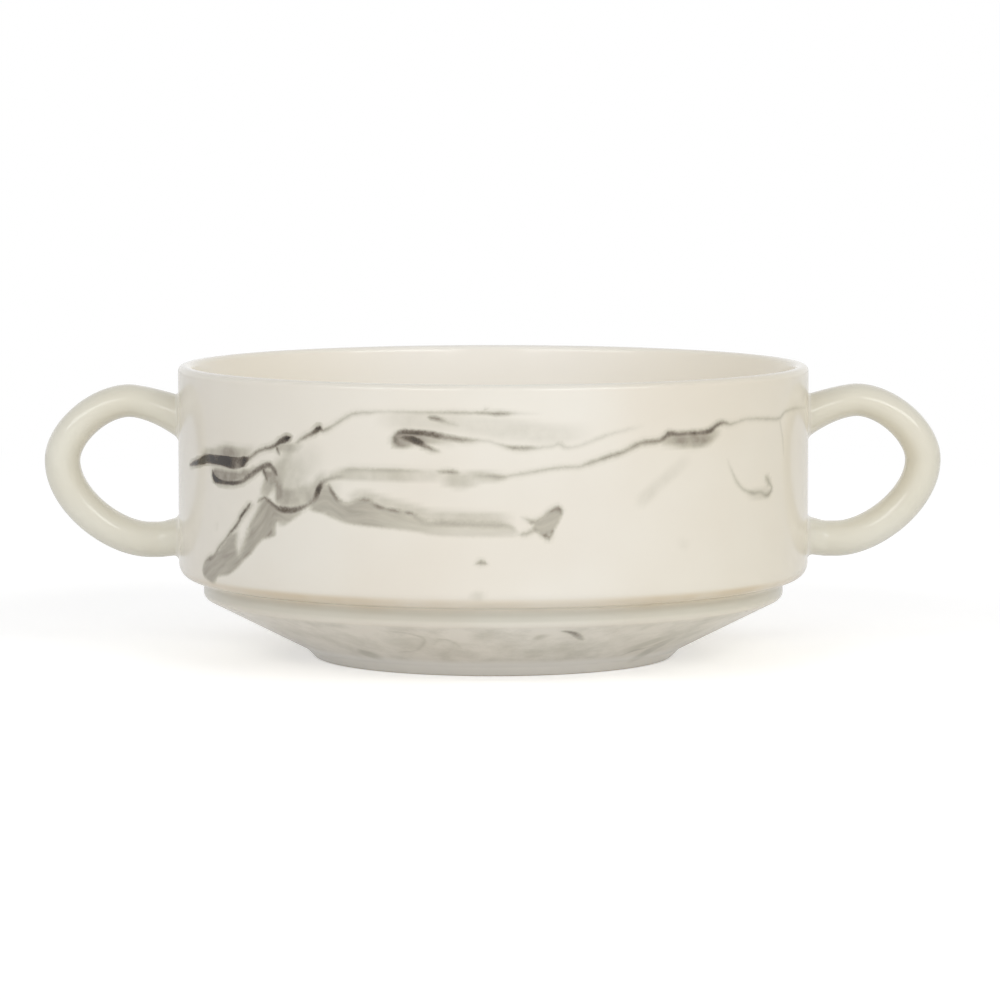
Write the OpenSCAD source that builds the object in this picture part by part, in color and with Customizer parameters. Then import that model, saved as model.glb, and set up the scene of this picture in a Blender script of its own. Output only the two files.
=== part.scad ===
/* [Bowl] */
// Outside diameter of the straight wall and rim
rim_d = 110; // [104:1:120]
// Height from the table to the top of the lip
bowl_h = 51; // [46:1:60]
// Thickness of the straight wall
wall_t = 3.7; // [3.4:0.1:4.8]
// Thickness of the wall at the lip, where it has thinned on the inside
lip_t = 2.2; // [2:0.1:3.2]
// Height below the lip over which the wall thins
lip_h = 12; // [8:0.5:16]
// Radius of the rounding on both edges of the lip
lip_round = 1; // [0.6:0.1:1.4]
// Radius of the bend inside, between wall and lower cone
inner_bend_round = 9; // [4:0.5:11]

/* [Stacking step] */
// Clearance between the step and the inside of the wall of the bowl below it in a stack
stack_gap = 0.6; // [0.3:0.1:1.2]
// Height of the step's face, from the cone up to the shelf
step_h = 2.8; // [2:0.1:3.4]
// Height above the table at which the shelf meets the step
shelf_z = 13.5; // [12:0.1:15]
// How much higher the shelf's outer edge is than its inner edge
shelf_rise = 1; // [0.4:0.1:1.4]
// Radius at which the wall turns under to the shelf
skirt_round = 2.6; // [1.4:0.1:2.8]
// Radius of the hollow fillet between shelf and step
step_fillet = 0.8; // [0.4:0.1:1]
// Radius of the rounding between step and cone
step_round = 1.2; // [0.6:0.1:1.6]

/* [Base] */
// Outside diameter of the foot's bearing face
foot_d = 62.6; // [56:0.2:68]
// How far the cone's lower edge stands out beyond the foot
foot_flare = 1.7; // [1:0.1:2.4]
// Height of the cone's lower edge above the table
foot_h = 1.7; // [1.2:0.1:2.4]
// Radius of the rounding where cone and foot meet
foot_round = 1.6; // [0.6:0.1:2]
// Width of the bearing ring, measured from the foot's outside
foot_ring_w = 3.4; // [2.6:0.1:5]
// Depth of the hollow inside the bearing ring
foot_recess = 1.5; // [1.3:0.1:2]
// Radius of the small roundings on the bearing ring
foot_edge = 0.5; // [0.3:0.1:0.6]
// Thickness of the floor above the hollow
floor_t = 4.2; // [3.4:0.1:5]
// Thickness of the lower cone, square to its face
cone_t = 4.2; // [3.6:0.1:5]
// Radius of the bend inside, between floor and cone
floor_round = 16; // [8:1:20]

/* [Handles] */
// How far a handle reaches out from the wall
handle_reach = 23.4; // [20:0.2:28]
// How far the top of a handle lies below the lip
handle_drop = 3.5; // [3.2:0.1:6]
// How far a handle's lower root stays above the start of the wall's lower rounding
handle_lift = 0.4; // [0.4:0.1:3]
// Thickness of the bar at the crown
crown_t = 5.7; // [4.6:0.1:6.4]
// Thickness of the bar at its outermost point
grip_t = 6.2; // [5:0.1:7]
// Thickness of the lower bar
lower_t = 6.2; // [5:0.1:6.8]
// Depth of the bar, across the hand
bar_w = 8; // [6:0.2:10]
// Height of the upper root where it meets the wall
upper_root_h = 8.3; // [7:0.1:10]
// Height of the lower root where it meets the wall
lower_root_h = 7.6; // [7:0.1:9]
// Depth of both roots where they meet the wall
root_w = 12; // [9:0.2:14]
// How far the middle of the upper root lies below the middle of the crown
upper_root_fall = 2.8; // [1.5:0.1:3.4]
// How far the middle of the lower root lies above the middle of the lower bar
lower_root_rise = 0.5; // [0.1:0.1:0.8]
// Length of the short flare on the lower root
lower_flare = 3.6; // [2.6:0.1:5]
// Thickness of the slip that joins a handle to the wall
slip_t = 0.5; // [0.3:0.05:0.8]
// How far the slip is squeezed out past the root's edge
slip_bead = 0.3; // [0.2:0.05:0.4]

/* [Hidden] */
glaze_colour = [0.91, 0.895, 0.845];
slip_colour = [0.87, 0.85, 0.79];
round_fn = 180;
edge_fn = 96;

// Body sizes that follow from the ones above
wall_r = rim_d / 2;
mouth_r = wall_r - wall_t;
step_r = mouth_r - stack_gap;
foot_r = foot_d / 2;
foot_in_r = foot_r - foot_ring_w;
cone_foot = [foot_r + foot_flare, foot_h];
cone_top = [step_r, shelf_z - step_h];
skirt_corner = [wall_r, shelf_z + shelf_rise];
cone_along = unit(cone_top - cone_foot);
cone_inner = cone_foot + cone_t * [-cone_along.y, cone_along.x];
cone_slope = cone_along.y / cone_along.x;
floor_z = foot_recess + floor_t;
floor_r = cone_inner.x + (floor_z - cone_inner.y) / cone_slope;
bend_z = cone_inner.y + (mouth_r - cone_inner.x) * cone_slope;

// A lip's rounding stays inside the wall
lip_limit_share = 0.48;
lip_r = min(lip_round, lip_limit_share * lip_t);

// The inside of the thinning wall, from just under the lip down to the straight wall
lip_steps = 6;
lip_inside = [for (i = [lip_steps - 1 : -1 : 0])
    let (t = i / lip_steps)
    [mouth_r + (wall_t - lip_t) * pow(t, 2), bowl_h - lip_h * (1 - t)]];

// Handle line: its crown, outermost point and lower bar, seen from the front
crown_share = 0.42;
apex_share = 0.57;
lower_share = 0.25;
crown_pull_share = 0.46;
apex_pull_share = 0.5;
lower_pull_share = 0.42;
root_bend = 1.56;
wall_start_z = skirt_corner.y + round_reach(cone_top + [0, step_h], skirt_corner, [wall_r, bowl_h], skirt_round);
crown_z = bowl_h - handle_drop - crown_t / 2;
lower_root_z = wall_start_z + handle_lift + lower_root_h / 2;
lower_z = lower_root_z - lower_root_rise;
grip_r = wall_r + handle_reach - grip_t / 2;
crown_r = wall_r + crown_share * (grip_r - wall_r);
lower_r = wall_r + lower_share * (grip_r - wall_r);
apex_z = lower_z + apex_share * (crown_z - lower_z);
upper_root_z = crown_z - upper_root_fall;
seat_r = wall_r + slip_t;
root_depth = 2 * slip_t + wall_r - sqrt(pow(wall_r, 2) - pow(root_w / 2, 2));

// Counts along the bar and around it
upper_steps = 9;
crown_steps = 10;
lower_steps = 13;
root_steps = 6;
section_points = 24;

function unit(v) = v / norm(v);

// Distance from a corner to where a rounding of radius r begins
function round_reach(before, corner, after, r) =
    r / tan(acos(unit(before - corner) * unit(after - corner)) / 2);

// Centre of the rounding of radius r in a corner
function round_centre(before, corner, after, r) =
    let (half = acos(unit(before - corner) * unit(after - corner)) / 2)
    corner + unit(unit(before - corner) + unit(after - corner)) * r / sin(half);

// A polygon, anticlockwise, whose corner i is rounded to radii[i]; 0 keeps it sharp
module rounded_outline(corners, radii) {
    n = len(corners);
    function before(i) = corners[(i + n - 1) % n];
    function after(i) = corners[(i + 1) % n];
    function reach(i) = round_reach(before(i), corners[i], after(i), radii[i]);
    function turns_left(i) = cross(corners[i] - before(i), after(i) - corners[i]) > 0;
    cut_corners = [for (i = [0 : n - 1]) each radii[i] == 0
        ? [corners[i]]
        : [corners[i] + unit(before(i) - corners[i]) * reach(i),
           corners[i] + unit(after(i) - corners[i]) * reach(i)]];
    difference() {
        union() {
            polygon(cut_corners);
            for (i = [0 : n - 1])
                if (radii[i] > 0 && turns_left(i))
                    translate(round_centre(before(i), corners[i], after(i), radii[i]))
                        circle(r = radii[i], $fn = edge_fn);
        }
        for (i = [0 : n - 1])
            if (radii[i] > 0 && !turns_left(i))
                translate(round_centre(before(i), corners[i], after(i), radii[i]))
                    circle(r = radii[i], $fn = edge_fn);
    }
}

// The bowl in one piece: lip, straight wall, stacking step, cone, floor and foot
module bowl_body() {
    outside = [
        [0, foot_recess],
        [foot_in_r, foot_recess],
        [foot_in_r, 0],
        [foot_r, 0],
        cone_foot,
        cone_top,
        [step_r, shelf_z],
        skirt_corner,
        [wall_r, bowl_h],
        [wall_r - lip_t, bowl_h]];
    outside_rounds = [0, foot_edge, foot_edge, foot_edge, foot_round, step_round, step_fillet,
                      skirt_round, lip_r, lip_r];
    inside = [[mouth_r, bend_z], [floor_r, floor_z], [0, floor_z]];
    inside_rounds = [inner_bend_round, floor_round, 0];
    lip_rounds = [for (corner = lip_inside) 0];
    color(glaze_colour)
    rotate_extrude($fn = round_fn)
        rounded_outline(concat(outside, lip_inside, inside),
                        concat(outside_rounds, lip_rounds, inside_rounds));
}

// A point of a curve with two pulls, and its way there
function curve_point(p, t) =
    pow(1 - t, 3) * p[0] + 3 * pow(1 - t, 2) * t * p[1] + 3 * (1 - t) * pow(t, 2) * p[2] + pow(t, 3) * p[3];
function curve_way(p, t) =
    unit(pow(1 - t, 2) * (p[1] - p[0]) + 2 * (1 - t) * t * (p[2] - p[1]) + pow(t, 2) * (p[3] - p[2]));
function blend(a, b, t) = a + (b - a) * t;
function soft(t) = t * t * (3 - 2 * t);

upper_curve = [
    [crown_r, crown_z],
    [blend(crown_r, grip_r, crown_pull_share), crown_z],
    [grip_r, blend(apex_z, crown_z, crown_pull_share)],
    [grip_r, apex_z]];
lower_curve = [
    [grip_r, apex_z],
    [grip_r, blend(apex_z, lower_z, apex_pull_share)],
    [blend(lower_r, grip_r, lower_pull_share), lower_z],
    [lower_r, lower_z]];

// One station of the bar: [middle, way along the bar, half thickness, half depth]
function upper_station(t) =
    let (x = blend(wall_r - root_depth, crown_r, t),
         back = (crown_r - x) / (crown_r - wall_r),
         swell = min(1, pow(back, 2)))
    [[x, crown_z - upper_root_fall * pow(back, root_bend)], [1, 0],
     blend(crown_t, upper_root_h, swell) / 2, blend(bar_w, root_w, swell) / 2];
function crown_station(t) =
    [curve_point(upper_curve, t), curve_way(upper_curve, t),
     blend(crown_t, grip_t, soft(t)) / 2, bar_w / 2];
function lower_station(t) =
    [curve_point(lower_curve, t), curve_way(lower_curve, t),
     blend(grip_t, lower_t, soft(t)) / 2, bar_w / 2];
function root_station(t) =
    let (x = blend(lower_r, wall_r - root_depth, t),
         swell = pow(max(0, min(1, (wall_r + lower_flare - x) / lower_flare)), 2))
    [[x, lower_z + lower_root_rise * swell], [-1, 0],
     blend(lower_t, lower_root_h, swell) / 2, blend(bar_w, root_w, swell) / 2];

bar_stations = [
    for (i = [0 : upper_steps - 1]) upper_station(i / upper_steps),
    for (i = [0 : crown_steps - 1]) crown_station(i / crown_steps),
    for (i = [0 : lower_steps - 1]) lower_station(i / lower_steps),
    for (i = [0 : root_steps]) root_station(i / root_steps)];

// Ring of points round a station, square to the bar's way
function bar_ring(station) =
    [for (k = [0 : section_points - 1])
        let (a = 360 * k / section_points,
             way = station[1],
             rise = station[2] * cos(a))
        [station[0].x - way.y * rise, station[3] * sin(a), station[0].y + way.x * rise]];

// The handle's bar, longer at both ends than the wall's face
module handle_bar() {
    last = len(bar_stations) - 1;
    m = section_points;
    points = [for (station = bar_stations) each bar_ring(station)];
    sides = [for (i = [0 : last - 1], k = [0 : m - 1])
        let (a = i * m + k, b = i * m + (k + 1) % m)
        each [[a, b, a + m], [b, b + m, a + m]]];
    start = [for (k = [1 : m - 2]) [0, k + 1, k]];
    end = [for (k = [1 : m - 2]) [last * m, last * m + k, last * m + k + 1]];
    polyhedron(points = points, faces = concat(sides, start, end), convexity = 4);
}

// A loop handle whose two roots are cut to the curve of the wall
module handle() {
    color(glaze_colour)
    difference() {
        handle_bar();
        cylinder(r = seat_r, h = bowl_h, $fn = round_fn);
    }
}

// The slip between one root and the wall, squeezed out a little round the root
module slip_joint(root_h, root_z) {
    tall = root_h / 2 + slip_bead;
    deep = root_w / 2 + slip_bead;
    color(slip_colour)
    intersection() {
        difference() {
            cylinder(r = seat_r, h = bowl_h, $fn = round_fn);
            cylinder(r = wall_r, h = bowl_h, $fn = round_fn);
        }
        translate([0, 0, root_z])
            rotate([0, 90, 0])
                linear_extrude(height = rim_d)
                    polygon([for (k = [0 : 2 * section_points - 1])
                        let (a = 180 * k / section_points)
                        [tall * cos(a), deep * sin(a)]]);
    }
}

module left_handle() { mirror([1, 0, 0]) handle(); }
module right_handle() { handle(); }
module left_upper_slip_joint() { mirror([1, 0, 0]) slip_joint(upper_root_h, upper_root_z); }
module left_lower_slip_joint() { mirror([1, 0, 0]) slip_joint(lower_root_h, lower_root_z); }
module right_upper_slip_joint() { slip_joint(upper_root_h, upper_root_z); }
module right_lower_slip_joint() { slip_joint(lower_root_h, lower_root_z); }

bowl_body();
left_handle();
right_handle();
left_upper_slip_joint();
left_lower_slip_joint();
right_upper_slip_joint();
right_lower_slip_joint();
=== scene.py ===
import math

import bmesh
import bpy
import numpy as np
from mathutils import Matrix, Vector


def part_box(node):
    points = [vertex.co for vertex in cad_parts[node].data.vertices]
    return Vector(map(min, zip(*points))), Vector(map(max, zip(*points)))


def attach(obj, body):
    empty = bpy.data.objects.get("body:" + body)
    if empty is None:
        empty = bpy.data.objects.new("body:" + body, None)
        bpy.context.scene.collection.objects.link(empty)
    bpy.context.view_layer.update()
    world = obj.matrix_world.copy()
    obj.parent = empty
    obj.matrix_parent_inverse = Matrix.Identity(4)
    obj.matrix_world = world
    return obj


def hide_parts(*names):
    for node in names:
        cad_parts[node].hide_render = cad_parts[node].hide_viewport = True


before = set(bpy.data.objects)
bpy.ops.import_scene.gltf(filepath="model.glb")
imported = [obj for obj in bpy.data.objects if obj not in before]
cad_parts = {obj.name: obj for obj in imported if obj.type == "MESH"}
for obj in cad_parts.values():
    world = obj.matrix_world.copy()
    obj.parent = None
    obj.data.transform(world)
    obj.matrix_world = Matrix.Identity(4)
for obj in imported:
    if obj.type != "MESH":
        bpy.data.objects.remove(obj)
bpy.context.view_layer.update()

MM = 0.001

# Sizes in millimetres, read from the frame
BODY_HIGH = [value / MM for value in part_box("bowl_body")[1]]
HANDLE_HIGH = [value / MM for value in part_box("right_handle")[1]]
WALL_R = round(BODY_HIGH[1], 1)
BOWL_H = round(BODY_HIGH[2], 1)
GRIP_OUT_R = HANDLE_HIGH[0]

# Sizes of the bowl in millimetres that the frame doesn't name
WALL_T = 3.7
LIP_T = 2.2
LIP_H = 12.0
LIP_ROUND = 1.05
STACK_GAP = 0.6
STEP_H = 2.8
SHELF_Z = 13.5
SHELF_RISE = 1.0
SKIRT_ROUND = 2.6
STEP_FILLET = 0.8
STEP_ROUND = 1.2
FOOT_R = 31.3
FOOT_RING_W = 3.4
FOOT_FLARE = 1.7
FOOT_H = 1.7
FOOT_ROUND = 1.6
FOOT_EDGE = 0.5
FOOT_RECESS = 1.5
FLOOR_T = 4.2
CONE_T = 4.2
FLOOR_ROUND = 16.0
INNER_BEND_ROUND = 9.0

# Sizes of a handle in millimetres
HANDLE_DROP = 3.5
CROWN_T = 5.7
GRIP_T = 6.2
LOWER_T = 6.2
BAR_W = 8.0
UPPER_ROOT_H = 7.6
LOWER_ROOT_H = 6.6
ROOT_W = 10.8
UPPER_ROOT_FALL = 2.8
LOWER_ROOT_Z = 20.8
LOWER_ROOT_RISE = 0.5
LOWER_FLARE = 3.6
UPPER_FILLET = 0.7
LOWER_FILLET = 1.0
SLIP_REACH = 0.5
ROOT_SINK = 0.4
WRAP_REACH = 5.0
ROOT_BEND = 1.56
CROWN_SHARE = 0.42
APEX_SHARE = 0.57
LOWER_SHARE = 0.25
CROWN_PULL_SHARE = 0.46
APEX_PULL_SHARE = 0.5
LOWER_PULL_SHARE = 0.42

# Fineness of the meshes
TURN_STEPS = 456
PAINT_STEP = 0.7
PLAIN_STEP = 2.2
ARC_SAG = 0.006
LEAST_ARC_STEPS = 3
LIP_STEPS = 12
RING_STEPS = 56
ROOT_STEPS = 26
ROOT_CROWDING = 1.8
CROWN_STEPS = 28
LOWER_STEPS = 36
SLIP_STEPS = 8
MERGE_GAP = 0.002
CRISP_DEGREES = 50


def linear(hex_colour):
    """An sRGB hex colour as linear RGBA."""
    values = [int(hex_colour[i:i + 2], 16) / 255 for i in (0, 2, 4)]
    return [v / 12.92 if v <= 0.04045 else ((v + 0.055) / 1.055) ** 2.4 for v in values] + [1]


def add(tree, kind, links=None, **settings):
    """A new node with its settings; links maps an input to a value, a node or a socket."""
    node = tree.nodes.new(kind)
    for name, value in settings.items():
        setattr(node, name, value)
    for key, value in (links or {}).items():
        if isinstance(value, bpy.types.Node):
            value = value.outputs[0]
        if isinstance(value, bpy.types.NodeSocket):
            tree.links.new(value, node.inputs[key])
        else:
            node.inputs[key].default_value = value
    return node


def blend(a, b, t):
    return a + (b - a) * t


def soft(t):
    t = min(1.0, max(0.0, t))
    return t * t * (3 - 2 * t)


def rounded_outline(corners, radii, steps):
    """Points along corners with corner i rounded to radii[i]; steps[i] is the spacing after corner i."""
    points = [Vector(corners[0])]
    for i in range(1, len(corners)):
        here = Vector(corners[i])
        before = (Vector(corners[i - 1]) - here).normalized()
        arc = [here]
        if i < len(corners) - 1 and radii[i] > 0:
            after = (Vector(corners[i + 1]) - here).normalized()
            half = before.angle(after) / 2
            centre = here + (before + after).normalized() * radii[i] / math.sin(half)
            start = here + before * radii[i] / math.tan(half) - centre
            sweep = math.pi - 2 * half
            if before.x * after.y - before.y * after.x > 0:
                sweep = -sweep
            count = max(LEAST_ARC_STEPS, round(abs(sweep) * math.sqrt(radii[i] / (8 * ARC_SAG))))
            arc = []
            for k in range(count + 1):
                a = sweep * k / count
                turned = Vector((start.x * math.cos(a) - start.y * math.sin(a),
                                 start.x * math.sin(a) + start.y * math.cos(a)))
                arc.append(centre + turned)
        start = points[-1]
        count = max(1, round((arc[0] - start).length / steps[i - 1]))
        points += [start.lerp(arc[0], k / count) for k in range(1, count)]
        points += arc
    return points


def station_mesh(name, places, **attributes):
    """A chain of edges through places in millimetres, with point attributes for a geometry tree."""
    mesh = bpy.data.meshes.new(name)
    edges = [(i, i + 1) for i in range(len(places) - 1)]
    mesh.from_pydata([[value * MM for value in place] for place in places], edges, [])
    for key, values in attributes.items():
        flat = np.ravel(values) * MM
        kind = "FLOAT_VECTOR" if len(flat) == 3 * len(places) else "FLOAT"
        field = mesh.attributes.new(key, kind, "POINT")
        field.data.foreach_set("vector" if kind == "FLOAT_VECTOR" else "value", flat)
    return mesh


def new_tree(name, sockets):
    """An empty geometry tree with named inputs."""
    tree = bpy.data.node_groups.new(name, "GeometryNodeTree")
    for key, kind in [("Geometry", "NodeSocketGeometry")] + sockets:
        tree.interface.new_socket(key, in_out="INPUT", socket_type=kind)
    tree.interface.new_socket("Geometry", in_out="OUTPUT", socket_type="NodeSocketGeometry")
    return tree


def end_tree(tree, shape, glaze):
    """Close a geometry tree: merged, smooth with crisp rims, and dressed."""
    merged = add(tree, "GeometryNodeMergeByDistance", {"Geometry": shape, "Distance": MERGE_GAP * MM})
    angle = add(tree, "GeometryNodeInputMeshEdgeAngle")
    smooth = add(tree, "FunctionNodeCompare", {0: angle, 1: math.radians(CRISP_DEGREES)},
                 data_type="FLOAT", operation="LESS_THAN")
    faces = add(tree, "GeometryNodeSetShadeSmooth", {"Geometry": merged, "Shade Smooth": True},
                domain="FACE")
    edges = add(tree, "GeometryNodeSetShadeSmooth", {"Geometry": faces, "Shade Smooth": smooth},
                domain="EDGE")
    real = add(tree, "GeometryNodeRealizeInstances", {"Geometry": edges})
    dressed = add(tree, "GeometryNodeSetMaterial", {"Geometry": real, "Material": glaze})
    add(tree, "NodeGroupOutput", {"Geometry": dressed})


def marked_ring(tree, steps):
    """A ring whose points keep how far round it they are, as a share of a full turn."""
    ring = add(tree, "GeometryNodeCurvePrimitiveCircle", {"Resolution": steps})
    factor = add(tree, "GeometryNodeSplineParameter")
    return add(tree, "GeometryNodeStoreNamedAttribute",
               {"Geometry": ring, "Name": "turn", "Value": factor}, data_type="FLOAT", domain="POINT")


def ring_angle(tree):
    """How far round its ring each point is, in radians."""
    turn = add(tree, "GeometryNodeInputNamedAttribute", {"Name": "turn"}, data_type="FLOAT")
    return add(tree, "ShaderNodeMath", {0: turn, 1: 2 * math.pi}, operation="MULTIPLY")


def turning_tree():
    """A profile, given as a chain of stations, turned about Z as on a potter's wheel."""
    tree = new_tree("turned_profile", [("Turn steps", "NodeSocketInt"), ("Glaze", "NodeSocketMaterial")])
    given = add(tree, "NodeGroupInput")
    profile = add(tree, "GeometryNodeMeshToCurve", {"Mesh": given.outputs["Geometry"]})
    wheel = marked_ring(tree, given.outputs["Turn steps"])
    skin = add(tree, "GeometryNodeCurveToMesh", {"Curve": wheel, "Profile Curve": profile})
    place = add(tree, "GeometryNodeInputNamedAttribute", {"Name": "middle"}, data_type="FLOAT_VECTOR")
    turned = add(tree, "ShaderNodeVectorRotate", {"Vector": place, "Angle": ring_angle(tree)},
                 rotation_type="Z_AXIS")
    shape = add(tree, "GeometryNodeSetPosition", {"Geometry": skin, "Position": turned})
    end_tree(tree, shape, given.outputs["Glaze"])
    return tree


def wall_pull(tree, middle, y, wrap):
    """How far a place off the handle's middle plane is pulled in to follow the wall's curve."""
    parts = add(tree, "ShaderNodeSeparateXYZ", {0: middle})
    radius = parts.outputs["X"]
    squared = add(tree, "ShaderNodeMath", {0: radius, 1: 2.0}, operation="POWER")
    y_squared = add(tree, "ShaderNodeMath", {0: y, 1: y}, operation="MULTIPLY")
    inner = add(tree, "ShaderNodeMath", {0: squared, 1: y_squared}, operation="SUBTRACT")
    chord = add(tree, "ShaderNodeMath", {0: inner}, operation="SQRT")
    sagitta = add(tree, "ShaderNodeMath", {0: chord, 1: radius}, operation="SUBTRACT")
    share = add(tree, "ShaderNodeMath", {0: wrap, 1: 1 / MM}, operation="MULTIPLY")
    pull = add(tree, "ShaderNodeMath", {0: sagitta, 1: share}, operation="MULTIPLY")
    return add(tree, "ShaderNodeCombineXYZ", {"X": pull})


def bar_tree():
    """An oval bar swept along a chain of stations, its ends wrapped to the wall's curve."""
    tree = new_tree("swept_bar", [("Ring steps", "NodeSocketInt"), ("Side", "NodeSocketFloat"),
                                  ("Glaze", "NodeSocketMaterial")])
    given = add(tree, "NodeGroupInput")
    path = add(tree, "GeometryNodeMeshToCurve", {"Mesh": given.outputs["Geometry"]})
    ring = marked_ring(tree, given.outputs["Ring steps"])
    skin = add(tree, "GeometryNodeCurveToMesh", {"Curve": path, "Profile Curve": ring, "Fill Caps": True})
    middle = add(tree, "GeometryNodeInputNamedAttribute", {"Name": "middle"}, data_type="FLOAT_VECTOR")
    axis = add(tree, "GeometryNodeInputNamedAttribute", {"Name": "rise"}, data_type="FLOAT_VECTOR")
    deep = add(tree, "GeometryNodeInputNamedAttribute", {"Name": "half_depth"}, data_type="FLOAT")
    wrap = add(tree, "GeometryNodeInputNamedAttribute", {"Name": "wrap"}, data_type="FLOAT")
    angle = ring_angle(tree)
    up = add(tree, "ShaderNodeMath", {0: angle}, operation="COSINE")
    side = add(tree, "ShaderNodeMath", {0: angle}, operation="SINE")
    lift = add(tree, "ShaderNodeVectorMath", {0: axis, "Scale": up}, operation="SCALE")
    y = add(tree, "ShaderNodeMath", {0: side, 1: deep}, operation="MULTIPLY")
    across = add(tree, "ShaderNodeCombineXYZ", {"Y": y})
    placed = add(tree, "ShaderNodeVectorMath", {0: middle, 1: lift}, operation="ADD")
    oval = add(tree, "ShaderNodeVectorMath", {0: placed, 1: across}, operation="ADD")
    pull = wall_pull(tree, middle, y, wrap)
    seated = add(tree, "ShaderNodeVectorMath", {0: oval, 1: pull}, operation="ADD")
    mirror = add(tree, "ShaderNodeCombineXYZ", {"X": given.outputs["Side"], "Y": 1.0, "Z": 1.0})
    sided = add(tree, "ShaderNodeVectorMath", {0: seated, 1: mirror}, operation="MULTIPLY")
    shape = add(tree, "GeometryNodeSetPosition", {"Geometry": skin, "Position": sided})
    end_tree(tree, shape, given.outputs["Glaze"])
    return tree


def made(name, stations, tree, **inputs):
    """A plain mesh object from a geometry tree run on a chain of stations."""
    source = bpy.data.objects.new(name + "_stations", stations)
    bpy.context.scene.collection.objects.link(source)
    run = source.modifiers.new("shape", "NODES")
    run.node_group = tree
    wanted = {key.replace("_", " ").lower(): value for key, value in inputs.items()}
    for socket in tree.interface.items_tree:
        if socket.in_out == "INPUT" and socket.name.lower() in wanted:
            run[socket.identifier] = wanted[socket.name.lower()]
    depsgraph = bpy.context.evaluated_depsgraph_get()
    mesh = bpy.data.meshes.new_from_object(source.evaluated_get(depsgraph), depsgraph=depsgraph)
    bpy.data.objects.remove(source)
    mesh.name = name
    work = bmesh.new()
    work.from_mesh(mesh)
    bmesh.ops.recalc_face_normals(work, faces=work.faces)
    work.to_mesh(mesh)
    work.free()
    piece = bpy.data.objects.new(name, mesh)
    bpy.context.scene.collection.objects.link(piece)
    return piece


# Bowl body: one turned outline from the hollow under the foot round the lip to the floor
def body_outline():
    mouth_r = WALL_R - WALL_T
    step_r = mouth_r - STACK_GAP
    foot_in_r = FOOT_R - FOOT_RING_W
    cone_foot = Vector((FOOT_R + FOOT_FLARE, FOOT_H))
    cone_top = Vector((step_r, SHELF_Z - STEP_H))
    along = (cone_top - cone_foot).normalized()
    cone_inner = cone_foot + CONE_T * Vector((-along.y, along.x))
    slope = along.y / along.x
    floor_z = FOOT_RECESS + FLOOR_T
    floor_r = cone_inner.x + (floor_z - cone_inner.y) / slope
    bend_z = cone_inner.y + (mouth_r - cone_inner.x) * slope
    thinning = [(mouth_r + (WALL_T - LIP_T) * (k / LIP_STEPS) ** 2, BOWL_H - LIP_H * (1 - k / LIP_STEPS),
                 0, PLAIN_STEP) for k in reversed(range(LIP_STEPS))]
    corners = [
        (0, FOOT_RECESS, 0, PLAIN_STEP),
        (foot_in_r, FOOT_RECESS, FOOT_EDGE, PLAIN_STEP),
        (foot_in_r, 0, FOOT_EDGE, PAINT_STEP),
        (FOOT_R, 0, FOOT_EDGE, PAINT_STEP),
        (*cone_foot, FOOT_ROUND, PAINT_STEP),
        (*cone_top, STEP_ROUND, PAINT_STEP),
        (step_r, SHELF_Z, STEP_FILLET, PAINT_STEP),
        (WALL_R, SHELF_Z + SHELF_RISE, SKIRT_ROUND, PAINT_STEP),
        (WALL_R, BOWL_H, LIP_ROUND, PAINT_STEP),
        (WALL_R - LIP_T, BOWL_H, LIP_ROUND, PLAIN_STEP),
        *thinning,
        (mouth_r, bend_z, INNER_BEND_ROUND, PLAIN_STEP),
        (floor_r, floor_z, FLOOR_ROUND, PLAIN_STEP),
        (0, floor_z, 0, PLAIN_STEP)]
    return rounded_outline([c[:2] for c in corners], [c[2] for c in corners], [c[3] for c in corners])


# Handles: stations from the upper root over the crown and the grip to the lower root
CROWN_Z = BOWL_H - HANDLE_DROP - CROWN_T / 2
LOWER_Z = LOWER_ROOT_Z - LOWER_ROOT_RISE
GRIP_R = GRIP_OUT_R - GRIP_T / 2
CROWN_R = blend(WALL_R, GRIP_R, CROWN_SHARE)
LOWER_R = blend(WALL_R, GRIP_R, LOWER_SHARE)
APEX_Z = blend(LOWER_Z, CROWN_Z, APEX_SHARE)


def fillet(gap, radius):
    """How far a round fillet stands out at a distance from the wall."""
    rest = min(1.0, max(0.0, 1 - gap / radius))
    return radius * (1 - math.sqrt(1 - rest ** 2))


def upper_station(x):
    back = (CROWN_R - x) / (CROWN_R - WALL_R)
    swell = min(1.0, back ** 2)
    grown = fillet(x - WALL_R, UPPER_FILLET)
    return ((x, CROWN_Z - UPPER_ROOT_FALL * back ** ROOT_BEND), (0, 1),
            blend(CROWN_T, UPPER_ROOT_H, swell) / 2 + grown, blend(BAR_W, ROOT_W, swell) / 2 + grown)


def lower_root_station(x):
    swell = soft(1 - (x - WALL_R) / LOWER_FLARE) if x < WALL_R + LOWER_FLARE else 0
    grown = fillet(x - WALL_R, LOWER_FILLET)
    return ((x, LOWER_Z + LOWER_ROOT_RISE * swell), (0, -1),
            blend(LOWER_T, LOWER_ROOT_H, swell) / 2 + grown, blend(BAR_W, ROOT_W, swell) / 2 + grown)


def curve_station(pulls, t, start_t, end_t):
    a, b, c, d = [Vector(p) for p in pulls]
    place = a * (1 - t) ** 3 + 3 * b * (1 - t) ** 2 * t + 3 * c * (1 - t) * t ** 2 + d * t ** 3
    way = ((b - a) * (1 - t) ** 2 + 2 * (c - b) * (1 - t) * t + (d - c) * t ** 2).normalized()
    return (tuple(place), (-way.y, way.x), blend(start_t, end_t, soft(t)) / 2, BAR_W / 2)


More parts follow.
